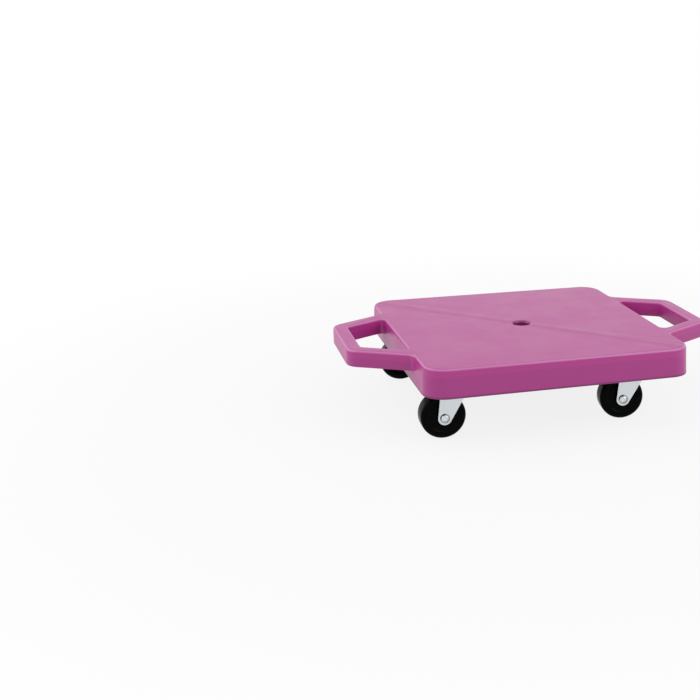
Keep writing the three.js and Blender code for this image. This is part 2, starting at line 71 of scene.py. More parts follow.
def linear(hex_code):
    """The linear red, green and blue of an sRGB colour written as a hex code."""
    channels = [int(hex_code[i : i + 2], 16) / 255 for i in (1, 3, 5)]
    return [c / 12.92 if c <= 0.04045 else ((c + 0.055) / 1.055) ** 2.4 for c in channels]


def colour(name, description, hex_code):
    """A colour that a user can change, given as an sRGB hex code."""
    return FloatVectorProperty(
        name=name, description=description, subtype="COLOR", size=3, min=0, max=1, default=linear(hex_code)
    )


def length(name, description, millimetres):
    """A length that a user can change, given in millimetres."""
    return FloatProperty(name=name, description=description, default=millimetres * MM, **SIZES)


def degrees(name, description, value):
    """An angle that a user can change, given in degrees."""
    return FloatProperty(name=name, description=description, subtype="ANGLE", default=math.radians(value))


def fraction(name, description, value):
    """A share from 0 to 1 that a user can change."""
    return FloatProperty(name=name, description=description, default=value, min=0, max=1)


def watts(name, description, value):
    """The power of a lamp that a user can change."""
    return FloatProperty(name=name, description=description, unit="POWER", default=value)


def pixels(name, description, value):
    """A length in the picture that a user can change, in pixels of a picture 700 wide."""
    return FloatProperty(name=name, description=description, subtype="PIXEL", default=value)


class ScooterBoardColours(bpy.types.PropertyGroup):
    deck: colour("Deck", "The moulded deck", "#A12C7C")
    deck_cloud: colour("Deck cloud", "Where the deck's resin lies a little paler", "#A33281")
    # Painted shade: a darker tint along the lines above the ribs, on top of their raised relief
    deck_line_shade: colour("Deck line", "Where a rib shows through the top", "#9D2B78")
    # Painted highlight along the deck's upper edges
    deck_edge_highlight: colour("Deck edge", "The deck's rubbed upper edges", "#BA6CA2")
    # Painted shade along the skirt's lower edge and on the wall of the hole
    deck_shade: colour("Deck rim", "The deck's soiled lower edge, and the wall of its hole", "#7A2460")
    # Painted light on the upper part of the deck's walls, brighter than the body
    deck_upper_lit: colour("Deck worn", "The deck's walls just below the upper edges", "#AA3182")
    wheel: colour("Wheel", "The moulded wheels", "#050506")
    wheel_scuff: colour("Wheel scuff", "Where the wheels have been rolled dull", "#0B0B0C")
    zinc: colour("Zinc", "Bright zinc plate", "#D9DEE0")
    zinc_cloud: colour("Zinc cloud", "Zinc plate where its passivation lies thicker", "#CDD4D8")
    # Painted highlight along the forks' round edges
    zinc_edge_highlight: colour("Burnished zinc", "Zinc plate burnished by tumbling, along edges", "#F6F9FA")
    # Painted shade in the forks' recesses round the rivets
    recess_shade_tint: colour("Grease", "Zinc plate below old grease, in the forks' recesses", "#232628")
    steel: colour("Steel", "Hardened and polished steel", "#B9BBBD")
    steel_oil: colour("Oiled steel", "Polished steel below a film of grease", "#8E8D88")
    floor: colour("Floor", "The studio's floor", "#CFCFCF")


class ScooterBoardDeck(bpy.types.PropertyGroup):
    # The band along the upper edges that takes the painted highlight
    edge_band: length("Edge band", "Height of the band along the upper edges that is rubbed paler", 3)
    # How far down from the top the painted light on the walls reaches
    lit_band: length("Worn band", "From the top down to where the walls are no longer rubbed", 10)
    # Height of the painted shade along the skirt's lower edge
    rim: length("Rim", "Height of the soiled band along the skirt's lower edge", 2.8)
    line_width: length("Line width", "Of the faint ridge that shows above a diagonal rib", 14)
    line_height: length("Line height", "Of the faint ridge that shows above a diagonal rib", 0.42)
    second_gap: length("Second line gap", "Between the clear line and the faint one at a corner", 13)
    second_width: length("Second line width", "Of the faint line beside the clear one", 7)
    second_line: fraction("Second line", "Height of the faint line, as a share of the clear one's", 0.4)
    faint_diagonal: fraction(
        "Faint diagonal", "Height of the lines from front left to back right, as a share of the others", 0.15
    )
    grain: length("Grain", "Of the mould's fine texture, drawn coarser than it is so that it shows", 0.9)
    grain_depth: length("Grain depth", "Of the mould's fine texture", 0.005)
    cloud: length("Cloud", "Width of the resin's cloudy patches", 38)
    smooth_angle: degrees("Smooth angle", "Edges that turn less than this are shaded as round", 50)


class ScooterBoardWheel(bpy.types.PropertyGroup):
    diameter: length("Diameter", "Over the tread", 50.8)
    width: length("Width", "Across the tread and its shoulders", 22)
    shoulder: length("Shoulder", "Radius between tread and side", 4.5)
    rim: length("Rim", "Width of the flat of the side inside the shoulder", 3)
    rim_slope: length("Rim slope", "Width of the slope from the rim down to the web", 2)
    web_dish: length("Web dish", "How far the web lies behind the rim", 1)
    hub_diameter: length("Hub diameter", "Over the hub", 18)
    hub_stand: length("Hub stand", "How far the hub stands past the side", 1.4)
    bore: length("Bore", "Diameter of the hole for the sleeve", 10.1)
    edge: length("Edge", "Radius of the moulding's small edges", 0.5)


class ScooterBoardFork(bpy.types.PropertyGroup):
    sheet: length("Sheet", "Thickness of the steel", 2)
    width: length("Width", "Over both ears", 32)
    bend: length("Bend", "Outer radius of the two bends", 3.5)
    crown_top: length("Crown top", "Height of the crown's upper face above the floor", 60.8)
    crown_radius: length("Crown radius", "Of the round nose about the kingpin", 19)
    trail: length("Trail", "From the kingpin back to the axle", 20)
    ear_radius: length("Ear radius", "Of the round end of an ear", 7.6)
    boss_radius: length("Boss radius", "Of the swelling inside an ear", 6.4)
    boss_height: length("Boss height", "Of the swelling inside an ear", 1)
    recess_radius: length("Recess radius", "Of the hollow round the rivet's head", 5.7)
    recess_depth: length("Recess depth", "Of the hollow round the rivet's head", 1.5)
    axle_hole: length("Axle hole", "Radius of the hole for the rivet", 3.45)
    pin_hole: length("Pin hole", "Radius of the hole for the kingpin", 4.3)
    leg_top: length("Leg top", "From the ear's rear to where a leg's front edge meets the crown", 35)
    leg_shoulder: length("Leg shoulder", "Drop from the crown to where a leg has its full width", 10)
    lean: length("Lean", "How far a leg's rear edge leans towards the kingpin", 2.4)
    sweep: length("Sweep", "Radius from a leg's front edge into the crown", 5)
    nose_lip: length("Nose lip", "How far the crown's front edge is turned down", 1)
    edge: length("Edge", "Radius of the sheet's tumbled edges", 0.9)
    pressed_edge: length("Pressed edge", "Radius of the edges of holes and recesses", 0.25)


class ScooterBoardHardware(bpy.types.PropertyGroup):
    plate_length: length("Plate length", "Of the caster's top plate, from left to right", 60)
    plate_width: length("Plate width", "Of the caster's top plate, from front to back", 46)
    plate_thickness: length("Plate thickness", "Of the caster's top plate", 2)
    plate_corner: length("Plate corner", "Radius of the plate's corners", 6)
    plate_edge: length("Plate edge", "Radius of the plate's sheared edges", 0.3)
    race_gap: length("Race gap", "Between the fork's crown and the plate", 3)
    ball: length("Ball", "Diameter of a ball", 4)
    cage_width: length("Cage width", "Of the ring that spaces the balls", 1.6)
    cage_thickness: length("Cage thickness", "Of the ring that spaces the balls", 0.8)
    screw_inset: length("Screw inset", "From the plate's edges to a screw", 7)
    screw: length("Screw", "Diameter over the thread", 4)
    screw_core: length("Screw core", "Diameter below the thread", 2.9)
    screw_pitch: length("Screw pitch", "From one turn of the thread to the next", 1.5)
    screw_length: length("Screw length", "Of the threaded shank", 15)
    screw_head: length("Screw head", "Of the hex head, across its corners", 8.4)
    screw_head_height: length("Screw head height", "Of the hex head", 2.4)
    screw_hole: length("Screw hole", "Radius of the plate's holes for the screws", 2.7)
    kingpin: length("Kingpin", "Diameter of the kingpin's shank", 8)
    kingpin_head: length("Kingpin head", "Diameter of the kingpin's heads", 12)
    kingpin_head_height: length("Kingpin head height", "Of each head", 1.4)
    washer: length("Washer", "Outer diameter of the washer below the crown", 22)
    washer_thickness: length("Washer thickness", "Of the washer below the crown", 1.5)
    axle: length("Axle", "Diameter of the rivet that is the axle", 6.3)
    axle_head: length("Axle head", "Diameter of the rivet's heads", 8.4)
    axle_head_height: length("Axle head height", "Of each of the rivet's heads", 1.8)
    sleeve_wall: length("Sleeve wall", "Of the tube that the wheel turns on", 1.1)
    clearance: length("Clearance", "Between pieces that seat or run on each other", 0.3)
    balls: IntProperty(name="Balls", description="How many balls a ring has", default=8, min=3)


class ScooterBoardStage(bpy.types.PropertyGroup):
    azimuth: degrees("Azimuth", "The camera's heading", 18.251)
    elevation: degrees("Elevation", "How far the camera looks down", 16.916)
    roll: degrees("Roll", "How far the camera leans", -0.51)
    distance: length("Distance", "Along the view, from the camera to the deck", 1366.24)
    aim_across: pixels("Aim across", "Where the deck's middle shows, from the left", 521.344)
    aim_down: pixels("Aim down", "Where the deck's middle shows, from the top", 322.686)
    lens_across: pixels("Lens across", "Where the lens points, from the left", 520)
    focal_pixels: pixels("Focal length", "From the lens to the picture", 1140.412)
    sky: FloatProperty(name="Sky", description="Strength of the plain light from all round", default=0.68)
    overhead: watts("Overhead", "Of the softbox above", 3.8)
    front: watts("Front", "Of the softbox at the front right", 15)
    left: watts("Left", "Of the softbox on the left", 12.5)
    back: watts("Back", "Of the low softbox behind", 0.4)
    shadow: fraction("Shadow", "How much of the object's shadow the floor keeps", 0.15)
    clear: length("Clear", "How far out the floor has faded to plain white", 900)


def settings(name):
    """One of the groups of settings that the panel shows."""
    return getattr(bpy.context.scene, "scooter_board_" + name)


# Shapes

# How far an arc turns from one of its points to the next
ARC_STEP = math.radians(7.5)

# Points no further apart than this are one point
WELD = 0.001 * MM

# Faces that turn less than the first are one flat face. Edges that turn more than the second are rounded,
# and those that still turn more than the third are shaded sharp.
FLAT_ANGLE = math.radians(0.3)
EDGE_ANGLE = math.radians(35)
SHARP_ANGLE = math.radians(50)
EDGE_SEGMENTS = 3


def rounded(corners):
    """Points of a closed outline through corners given as (x, y, radius), each rounded by its radius."""
    points = []
    for i, (x, y, radius) in enumerate(corners):
        corner = Vector((x, y))
        if not radius:
            points.append(corner)
            continue
        back = (Vector(corners[i - 1][:2]) - corner).normalized()
        ahead = (Vector(corners[(i + 1) % len(corners)][:2]) - corner).normalized()
        half = back.angle(ahead) / 2
        centre = corner + (back + ahead).normalized() * radius / math.sin(half)
        spoke = corner + back * radius / math.tan(half) - centre
        sense = 1 if ahead.x * back.y - ahead.y * back.x > 0 else -1
        turn = sense * (math.pi - 2 * half)
        steps = max(2, math.ceil(abs(turn) / ARC_STEP))
        points += [centre + Matrix.Rotation(turn * k / steps, 2) @ spoke for k in range(steps + 1)]
    return points


def mesh_of(name, build):
    """A mesh made by build, which fills the bmesh that it is given."""
    bm = bmesh.new()
    build(bm)
    bmesh.ops.remove_doubles(bm, verts=bm.verts, dist=WELD)
    bmesh.ops.recalc_face_normals(bm, faces=bm.faces)
    mesh = bpy.data.meshes.new(name)
    bm.to_mesh(mesh)
    bm.free()
    mesh.shade_smooth()
    return mesh


def add_turned(bm, profile, steps, closed=False):
    """Turns (radius, height) points about Z. A profile that isn't closed starts and ends on the axis."""
    rings = []
    for radius, height in profile:
        angles = [2 * math.pi * i / steps for i in range(steps)] if radius > 0 else [0]
        rings.append([bm.verts.new((radius * math.cos(a), radius * math.sin(a), height)) for a in angles])
    following = rings[1:] + rings[:1] if closed else rings[1:]
    for low, high in zip(rings, following):
        for i in range(steps):
            j = (i + 1) % steps
            corners = [low[i % len(low)], low[j % len(low)], high[j % len(high)], high[i % len(high)]]
            face = list(dict.fromkeys(corners))
            if len(face) > 2:
                bm.faces.new(face)


def turned(name, profile, steps=72, closed=False):
    """A mesh of a profile turned about Z."""
    return mesh_of(name, lambda bm: add_turned(bm, profile, steps, closed))


def mirrored(profile):
    """A profile of the upper half, with the lower half before it."""
    return [(radius, -height) for radius, height in reversed(profile)] + list(profile)


def combined(mesh, modifiers, cutters=()):
    """The mesh that comes out of modifiers, given as (kind, settings); cutters are removed afterwards."""
    holder = bpy.data.objects.new(mesh.name + "_holder", mesh)
    bpy.context.scene.collection.objects.link(holder)
    for kind, values in modifiers:
        modifier = holder.modifiers.new(kind.lower(), kind)
        for key, value in values.items():
            setattr(modifier, key, value)
    bpy.context.view_layer.update()
    result = bpy.data.meshes.new_from_object(
        holder.evaluated_get(bpy.context.evaluated_depsgraph_get()), preserve_all_data_layers=False
    )
    result.name = mesh.name
    for gone in (holder, *cutters):
        bpy.data.objects.remove(gone)
    return result


def tool(mesh, matrix=Matrix.Identity(4)):
    """An object that cuts or joins another mesh and isn't kept."""
    cutter = bpy.data.objects.new(mesh.name, mesh)
    cutter.matrix_world = matrix
    bpy.context.scene.collection.objects.link(cutter)
    return cutter


def with_tools(mesh, pairs):
    """The mesh after each (operation, tool) of pairs, in order."""
    steps = [("BOOLEAN", {"object": cutter, "operation": operation}) for operation, cutter in pairs]
    return combined(mesh, steps, [cutter for _, cutter in pairs])


def edges_rounded(mesh, radius, angle=EDGE_ANGLE):
    """The mesh with flat faces made whole and every sharp edge rounded to a radius."""
    whole = {"decimate_type": "DISSOLVE", "angle_limit": FLAT_ANGLE}
    bevel = {"width": radius, "segments": EDGE_SEGMENTS, "limit_method": "ANGLE", "angle_limit": angle}
    round_edged = combined(mesh, [("DECIMATE", whole), ("BEVEL", bevel)])
    round_edged.shade_smooth()
    round_edged.set_sharp_from_angle(angle=SHARP_ANGLE)
    return combined(round_edged, [("WEIGHTED_NORMAL", {"keep_sharp": True})])


def soft_edges():
    """Geometry nodes that weld a faceted solid and shade it as round wherever it turns gently."""
    group = bpy.data.node_groups.new("soft_edges", "GeometryNodeTree")
    group.interface.new_socket("Geometry", in_out="INPUT", socket_type="NodeSocketGeometry")
    group.interface.new_socket("Geometry", in_out="OUTPUT", socket_type="NodeSocketGeometry")
    solid = add(group, "NodeGroupInput")
    plain = add(group, "GeometryNodeRemoveAttribute", {"Geometry": solid, "Name": "custom_normal"})
    welded = add(group, "GeometryNodeMergeByDistance", {"Geometry": plain, "Distance": WELD})
    smooth = add(group, "GeometryNodeSetShadeSmooth", {"Geometry": welded}, domain="FACE")
    angle = add(group, "GeometryNodeInputMeshEdgeAngle")
    sharp = add(group, MATH, [angle, settings("deck").smooth_angle], operation="GREATER_THAN")
    marked = add(
        group,
        "GeometryNodeSetShadeSmooth",
        {"Geometry": smooth, "Selection": sharp, "Shade Smooth": False},
        domain="EDGE",
    )
    add(group, "NodeGroupOutput", {"Geometry": marked})
    return group


# Placing


def caster_place(name):
    """Where a caster stands at rest: its kingpin's foot on the floor, and turned so that -X trails."""
    joints = {joint["name"]: joint for joint in frame["joints"]}
    pivot = joints[name + "_swivel_turn"]["pos_m"]
    axle = joints[name + "_wheel_spin"]["axis"]
    turn = math.atan2(-axle[0], axle[1])
    return Matrix.Translation((pivot[0], pivot[1], 0)) @ Matrix.Rotation(turn, 4, "Z")


def caster_foot(name):
    """Where a caster's fixed pieces stand: its kingpin's foot on the floor, square to the deck."""
    place = caster_place(name)
    return Matrix.Translation(place.to_translation())


def axle_place():
    """The wheel's middle in its caster's own frame, with Z turned along the axle."""
    fork = settings("fork")
    middle = Matrix.Translation((-fork.trail, 0, settings("wheel").diameter / 2))
    return middle @ Matrix.Rotation(-math.pi / 2, 4, "X")


def put(name, mesh, material, place, body, slot, *nodes):
    """Adds a finished piece that rides on a body and stands for CAD nodes."""
    piece = bpy.data.objects.new(name, mesh)
    bpy.context.scene.collection.objects.link(piece)
    mesh.materials.clear()
    mesh.materials.append(material)
    piece.matrix_world = place
    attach(piece, body)
    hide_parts(*nodes)


# Materials

MATH = "ShaderNodeMath"
VECTOR = "ShaderNodeVectorMath"
SPLIT = "ShaderNodeSeparateXYZ"
NOISE = "ShaderNodeTexNoise"
RANGE = "ShaderNodeMapRange"
MIX = "ShaderNodeMix"
SMOOTH = {"interpolation_type": "SMOOTHSTEP"}

# The sockets of a Mix node that are for colours
MIX_A = 6
MIX_B = 7
MIX_RESULT = 2

# Most of what a noise gives lies between these
FAINT = 0.3
STRONG = 0.7

# The roughness of each finish, where it is smoothest and where it is dullest
HDPE_ROUGHNESS = (0.33, 0.39)
ZINC_ROUGHNESS = (0.27, 0.41)
BEARING_ROUGHNESS = (0.08, 0.2)
POLYOLEFIN_ROUGHNESS = (0.17, 0.3)

# Distances from the middle of the deck. The painted shade on the hole's wall fades out from the first to the
# second, and the painted highlight on the edges fades in from there to the third.
HOLE_WALL = 10.5 * MM
HOLE_RIM = 12 * MM
HOLE_CLEAR = 16 * MM


def add(tree, kind, inputs=(), **values):
    """Adds a node with its settings and links.

    Inputs are given in order, or by their name or number. Each is a value, a socket, or a node whose first
    output is meant. A colour comes without its alpha, which is full.
    """
    node = tree.nodes.new(kind)
    for key, value in values.items():
        setattr(node, key, value)
    for key, value in inputs.items() if isinstance(inputs, dict) else enumerate(inputs):
        socket = node.inputs[key]
        if isinstance(value, bpy.types.Node):
            value = value.outputs[0]
        if isinstance(value, bpy.types.NodeSocket):
            tree.links.new(value, socket)
        elif socket.type == "RGBA":
            socket.default_value = (*value, 1)
        else:
            socket.default_value = value
    return node


def new_material(name):
    """An empty material, its node tree, and the object's own coordinates in metres."""
    material = bpy.data.materials.new(name)
    material.use_nodes = True
    tree = material.node_tree
    tree.nodes.clear()
    where = add(tree, "ShaderNodeTexCoord").outputs["Object"]
    return material, tree, where


def close_material(tree, inputs, relief=None):
    """Ends a material with a surface that has these inputs, and a relief whose height is in metres."""
    if relief is not None:
        bump = add(tree, "ShaderNodeBump", {"Strength": 1, "Distance": 1, "Height": relief})
        inputs = {**inputs, "Normal": bump}
    surface = add(tree, "ShaderNodeBsdfPrincipled", inputs)
    add(tree, "ShaderNodeOutputMaterial", {"Surface": surface})


def ridge(tree, off, width):
    """1 where off is zero, and smoothly down to nothing at about width to each side."""
    share = add(tree, MATH, [off, width / 2], operation="DIVIDE")
    square = add(tree, MATH, [share, share], operation="MULTIPLY")
    below_zero = add(tree, MATH, [square, -1], operation="MULTIPLY")
    return add(tree, MATH, [below_zero], operation="EXPONENT")


def rib_lines(tree, where):
    """How clearly a rib shows through the top, from 0 to 1.

    A line runs out to each corner, with a fainter one that draws off from it on the way.
    """
    deck = settings("deck")
    # The deck is square, and its grips reach out along X only
    corner = Vector(DECK_BOX[1].yy).length
    diagonal = math.sqrt(0.5)
    x, y, z = add(tree, SPLIT, [where]).outputs
    far_x = add(tree, MATH, [x], operation="ABSOLUTE")
    far_y = add(tree, MATH, [y], operation="ABSOLUTE")
    both = add(tree, MATH, [far_x, far_y], operation="ADD")
    between = add(tree, MATH, [far_y, far_x], operation="SUBTRACT")
    along = add(tree, MATH, [both, diagonal], operation="MULTIPLY")
    aside = add(tree, MATH, [between, diagonal], operation="MULTIPLY")
    clear = ridge(tree, aside, deck.line_width)
    drawn_off = add(tree, MATH, [along, deck.second_gap / corner, aside], operation="MULTIPLY_ADD")
    # The faint line comes in on the way to the corner
    begins = corner * 0.3
    full = corner * 0.6
    strength = add(tree, RANGE, [along, begins, full, 0, deck.second_line], **SMOOTH)
    second = ridge(tree, drawn_off, deck.second_width)
    faint = add(tree, MATH, [second, strength], operation="MULTIPLY")
    line = add(tree, MATH, [clear, faint], operation="ADD")
    # x times y, in square metres, is below zero on the diagonal that shows and above it on the other
    sides = add(tree, MATH, [x, y], operation="MULTIPLY")
    nearly_zero = 1e-5
    shown = add(tree, RANGE, [sides, -nearly_zero, nearly_zero, 1, deck.faint_diagonal], **SMOOTH)
    # The lines start a little way out from the hole, and end at the top's edges
    line_start = 11 * MM
    line_whole = 17 * MM
    past_hole = add(tree, RANGE, [along, line_start, line_whole, 0, 1], **SMOOTH)
    on_top = add(tree, RANGE, [z, DECK_TOP - deck.edge_band, DECK_TOP, 0, 1], **SMOOTH)
    for share in (shown, past_hole, on_top):
        line = add(tree, MATH, [line, share], operation="MULTIPLY")
    return line


def moulded_hdpe():
    """High-density polyethylene, injection moulded: a satin skin, a little cloudy, raised above its ribs.

    Its upper edges take a painted highlight, its walls just below them take painted light, and its lower
    edge and the wall of its hole take painted shade. The lines above its ribs are painted darker as well as
    raised.
    """
    colours = settings("colours")
    deck = settings("deck")
    material, tree, where = new_material("moulded_hdpe")
    cloud = add(tree, NOISE, {"Vector": where, "Scale": 1 / deck.cloud, "Detail": 3})
    # The mould's real texture is too fine to show, and is drawn coarser so that it does
    grain = add(tree, NOISE, {"Vector": where, "Scale": 1 / deck.grain, "Detail": 2})
    lines = rib_lines(tree, where)
    height = add(tree, SPLIT, [where]).outputs["Z"]
    flat = add(tree, VECTOR, [where, (1, 1, 0)], operation="MULTIPLY")
    away = add(tree, VECTOR, [flat], operation="LENGTH").outputs["Value"]
    edge_low = DECK_TOP - deck.edge_band
    edge_high = DECK_TOP - deck.edge_band / 4
    below_top = add(tree, RANGE, [height, edge_high, DECK_TOP, 1, 0], **SMOOTH)
    past_hole = add(tree, RANGE, [away, HOLE_RIM, HOLE_CLEAR, 0, 1], **SMOOTH)
    outside = add(tree, MATH, [below_top, past_hole], operation="MULTIPLY")
    # Painted highlight along the upper edges
    highlighted = add(tree, RANGE, [height, edge_low, edge_high, 0, 1], **SMOOTH)
    # Painted light on the walls just below the upper edges
    lit_low = DECK_TOP - deck.lit_band
    lit_fade = 1.5 * MM
    upper_lit = add(tree, RANGE, [height, lit_low, lit_low + lit_fade, 0, 1], **SMOOTH)
    # Painted shade along the skirt's lower edge
    rim_low = DECK_BOX[0].z + deck.rim / 2
    painted_shade = add(tree, RANGE, [height, rim_low, DECK_BOX[0].z + deck.rim, 1, 0], **SMOOTH)
    # Painted shade on the wall of the hole
    near_hole = add(tree, RANGE, [away, HOLE_WALL, HOLE_RIM, 1, 0], **SMOOTH)
    in_hole = add(tree, MATH, [near_hole, below_top], operation="MULTIPLY")
    # Each coat lies over the ones before it, as far as its share goes
    coats = [
        (cloud, colours.deck_cloud),
        # The lines above the ribs take painted shade as well as their raised relief
        (lines, colours.deck_line_shade),
        (add(tree, MATH, [upper_lit, outside], operation="MULTIPLY"), colours.deck_upper_lit),
        (add(tree, MATH, [highlighted, outside], operation="MULTIPLY"), colours.deck_edge_highlight),
        (add(tree, MATH, [painted_shade, in_hole], operation="MAXIMUM"), colours.deck_shade),
    ]
    tint = colours.deck
    for share, coat in coats:
        mixed = add(tree, MIX, {0: share, MIX_A: tint, MIX_B: coat}, data_type="RGBA")
        tint = mixed.outputs[MIX_RESULT]
    raised = add(tree, MATH, [lines, deck.line_height], operation="MULTIPLY")
    relief = add(tree, MATH, [grain, deck.grain_depth, raised], operation="MULTIPLY_ADD")
    rough = add(tree, RANGE, [cloud, FAINT, STRONG, *HDPE_ROUGHNESS], **SMOOTH)
    close_material(tree, {"Base Color": tint, "Roughness": rough, "IOR": 1.53}, relief)
    return material


def recess_shade(tree, where):
    """How much painted shade a fork takes: 0 but in the recesses round its rivet, and 1 at their upper rear.
    """
    fork = settings("fork")
    # How far up and to the rear of the rivet the painted shade is lightest and darkest, and how light that
    # is
    thin = 2 * MM
    thick = 6 * MM
    least = 0.35
    x, y, z = add(tree, SPLIT, [where]).outputs
    ahead = add(tree, MATH, [x, fork.trail], operation="ADD")
    up = add(tree, MATH, [z, settings("wheel").diameter / 2], operation="SUBTRACT")
    up_square = add(tree, MATH, [up, up], operation="MULTIPLY")
    squares = add(tree, MATH, [ahead, ahead, up_square], operation="MULTIPLY_ADD")
    away = add(tree, MATH, [squares], operation="SQRT")
    recess_end = fork.recess_radius + fork.pressed_edge
    near = add(tree, RANGE, [away, fork.recess_radius, recess_end, 1, 0], **SMOOTH)
    face = fork.width / 2
    out = add(tree, MATH, [y], operation="ABSOLUTE")
    sunk = add(tree, RANGE, [out, face - fork.pressed_edge * 2, face, 1, 0], **SMOOTH)
    upper_rear = add(tree, MATH, [up, ahead], operation="SUBTRACT")
    # The painted shade is darkest at the recess's upper rear
    upper_rear_shade = add(tree, RANGE, [upper_rear, thin, thick, least, 1], **SMOOTH)
    in_recess = add(tree, MATH, [near, sunk], operation="MULTIPLY")
    return add(tree, MATH, [in_recess, upper_rear_shade], operation="MULTIPLY")


def edge_highlight_mask(tree):
    """1 on the round edges of a fork's legs, which take a painted highlight, and 0 on their flat sides."""
    turned_away = 0.8
    sideways = 0.98
    facing = add(tree, "ShaderNodeTexCoord").outputs["Normal"]
    across = add(tree, MATH, [add(tree, SPLIT, [facing]).outputs["Y"]], operation="ABSOLUTE")
    return add(tree, RANGE, [across, turned_away, sideways, 1, 0], **SMOOTH)


def bright_zinc_plated_steel(pressed=False):
    """Steel, barrel plated with bright zinc: pale, faintly cloudy and not quite even.

    The pressed forks take a painted highlight along their round edges and painted shade in their recesses.
    """
    colours = settings("colours")
    cloud_width = 7 * MM
    speck_width = 0.7 * MM
    speck_depth = 0.006 * MM
    material, tree, where = new_material(("pressed" if pressed else "bright") + "_zinc_plated_steel")
    cloud = add(tree, NOISE, {"Vector": where, "Scale": 1 / cloud_width, "Detail": 3})
    # The zinc's real crystals are too fine to see, and are drawn coarser so that they show
    speck = add(tree, NOISE, {"Vector": where, "Scale": 1 / speck_width, "Detail": 2})
    # Each coat lies over the ones before it, as far as its share goes
    coats = [(cloud, colours.zinc_cloud)]
    if pressed:
        # Painted highlight on the round edges, and painted shade in the recesses
        coats.append((edge_highlight_mask(tree), colours.zinc_edge_highlight))
        coats.append((recess_shade(tree, where), colours.recess_shade_tint))
    tint = colours.zinc
    for share, coat in coats:
        mixed = add(tree, MIX, {0: share, MIX_A: tint, MIX_B: coat}, data_type="RGBA")
        tint = mixed.outputs[MIX_RESULT]
    rough = add(tree, RANGE, [speck, FAINT, STRONG, *ZINC_ROUGHNESS], **SMOOTH)
    relief = add(tree, MATH, [speck, speck_depth], operation="MULTIPLY")
    close_material(tree, {"Base Color": tint, "Metallic": 1, "Roughness": rough}, relief)
    return material


def polished_bearing_steel():
    """Hardened steel, ground and polished, with a film of grease: a dark mirror."""
    colours = settings("colours")
    film_width = 3 * MM
    material, tree, where = new_material("polished_bearing_steel")
    film = add(tree, NOISE, {"Vector": where, "Scale": 1 / film_width, "Detail": 3})
    mixed = add(tree, MIX, {0: film, MIX_A: colours.steel, MIX_B: colours.steel_oil}, data_type="RGBA")
    tint = mixed.outputs[MIX_RESULT]
    rough = add(tree, RANGE, [film, FAINT, STRONG, *BEARING_ROUGHNESS], **SMOOTH)
    close_material(tree, {"Base Color": tint, "Metallic": 1, "Roughness": rough})
    return material


def moulded_black_polyolefin():
    """Hard black polyolefin, injection moulded: deep black and glossy, with the mould's turning lines."""
    colours = settings("colours")
    scuff_width = 6 * MM
    dull_from = 0.4
    pale_from = 0.45
    scuffed = 0.75
    line_pitch = 0.8 * MM
    line_depth = 0.002 * MM
    material, tree, where = new_material("moulded_black_polyolefin")
    scuff = add(tree, NOISE, {"Vector": where, "Scale": 1 / scuff_width, "Detail": 5})
    pale = add(tree, RANGE, [scuff, pale_from, scuffed, 0, 1], **SMOOTH)
    mixed = add(tree, MIX, {0: pale, MIX_A: colours.wheel, MIX_B: colours.wheel_scuff}, data_type="RGBA")
    tint = mixed.outputs[MIX_RESULT]
    rough = add(tree, RANGE, [scuff, dull_from, scuffed, *POLYOLEFIN_ROUGHNESS], **SMOOTH)
    # The real lines are about 0.1 mm apart, and are drawn at 0.8 mm so that they show
    # A wave texture's lines lie pi / (10 x its scale) apart
    lines = add(
        tree,
        "ShaderNodeTexWave",
        {"Vector": where, "Scale": math.pi / (10 * line_pitch), "Distortion": 0.4},
        wave_type="RINGS",
        rings_direction="Z",
    )
    relief = add(tree, MATH, [lines, line_depth], operation="MULTIPLY")
    surface = {
        "Base Color": tint,
        "Roughness": rough,
        "IOR": 1.5,
        "Specular IOR Level": 0.03,
        "Sheen Weight": 0.04,
        "Sheen Roughness": 0.2,
    }
    close_material(tree, surface, relief)
    return material


def white_where_seen(tree, plain, share):
    """The plain shader for light, and white by a share, which may be a node, for what eye and gloss see."""
    rays = add(tree, "ShaderNodeLightPath").outputs
    seen = add(tree, MATH, [rays["Is Camera Ray"], rays["Is Glossy Ray"]], operation="MAXIMUM")
    seen = add(tree, MATH, [seen, rays["Is Transmission Ray"]], operation="MAXIMUM")
    white = add(tree, "ShaderNodeEmission", {"Color": (1, 1, 1), "Strength": 1})
    white_share = add(tree, MATH, [seen, share], operation="MULTIPLY")
    return add(tree, "ShaderNodeMixShader", [white_share, plain, white])


def studio_floor():
    """Matt painted board: shown white, with a share of the shadows that fall on it."""
    material, tree, where = new_material("matt_studio_board")
    stage = settings("stage")
    plain = add(tree, "ShaderNodeBsdfDiffuse", {"Color": settings("colours").floor})
    out = add(tree, VECTOR, [where], operation="LENGTH").outputs["Value"]
    share = add(tree, RANGE, [out, stage.clear / 3, stage.clear, 1 - stage.shadow, 1], **SMOOTH)
    shown = white_where_seen(tree, plain, share)
    # Nothing shows from below, so that the underside can be seen through the floor
    below = add(tree, "ShaderNodeNewGeometry").outputs["Backfacing"]
    open_below = add(tree, "ShaderNodeBsdfTransparent")
    shown = add(tree, "ShaderNodeMixShader", [below, shown, open_below])
    add(tree, "ShaderNodeOutputMaterial", {"Surface": shown})
    return material


# Deck


class SCOOTERBOARD_OT_deck(bpy.types.Operator):
    """Finishes the moulded deck: its resin, painted light and shade on its edges and walls, and the faint
    lines above its ribs
    """

    bl_idname = "scooter_board.deck"
    bl_label = "Finish Deck"

    def execute(self, context):
        deck = frame["nodes"]["deck_board"]
        deck.data.materials.clear()
        deck.data.materials.append(moulded_hdpe())
        nodes = deck.modifiers.new("soft_edges", "NODES")
        nodes.node_group = soft_edges()
        weights = deck.modifiers.new("flat_faces", "WEIGHTED_NORMAL")
        weights.keep_sharp = True
        return {"FINISHED"}


# Wheels


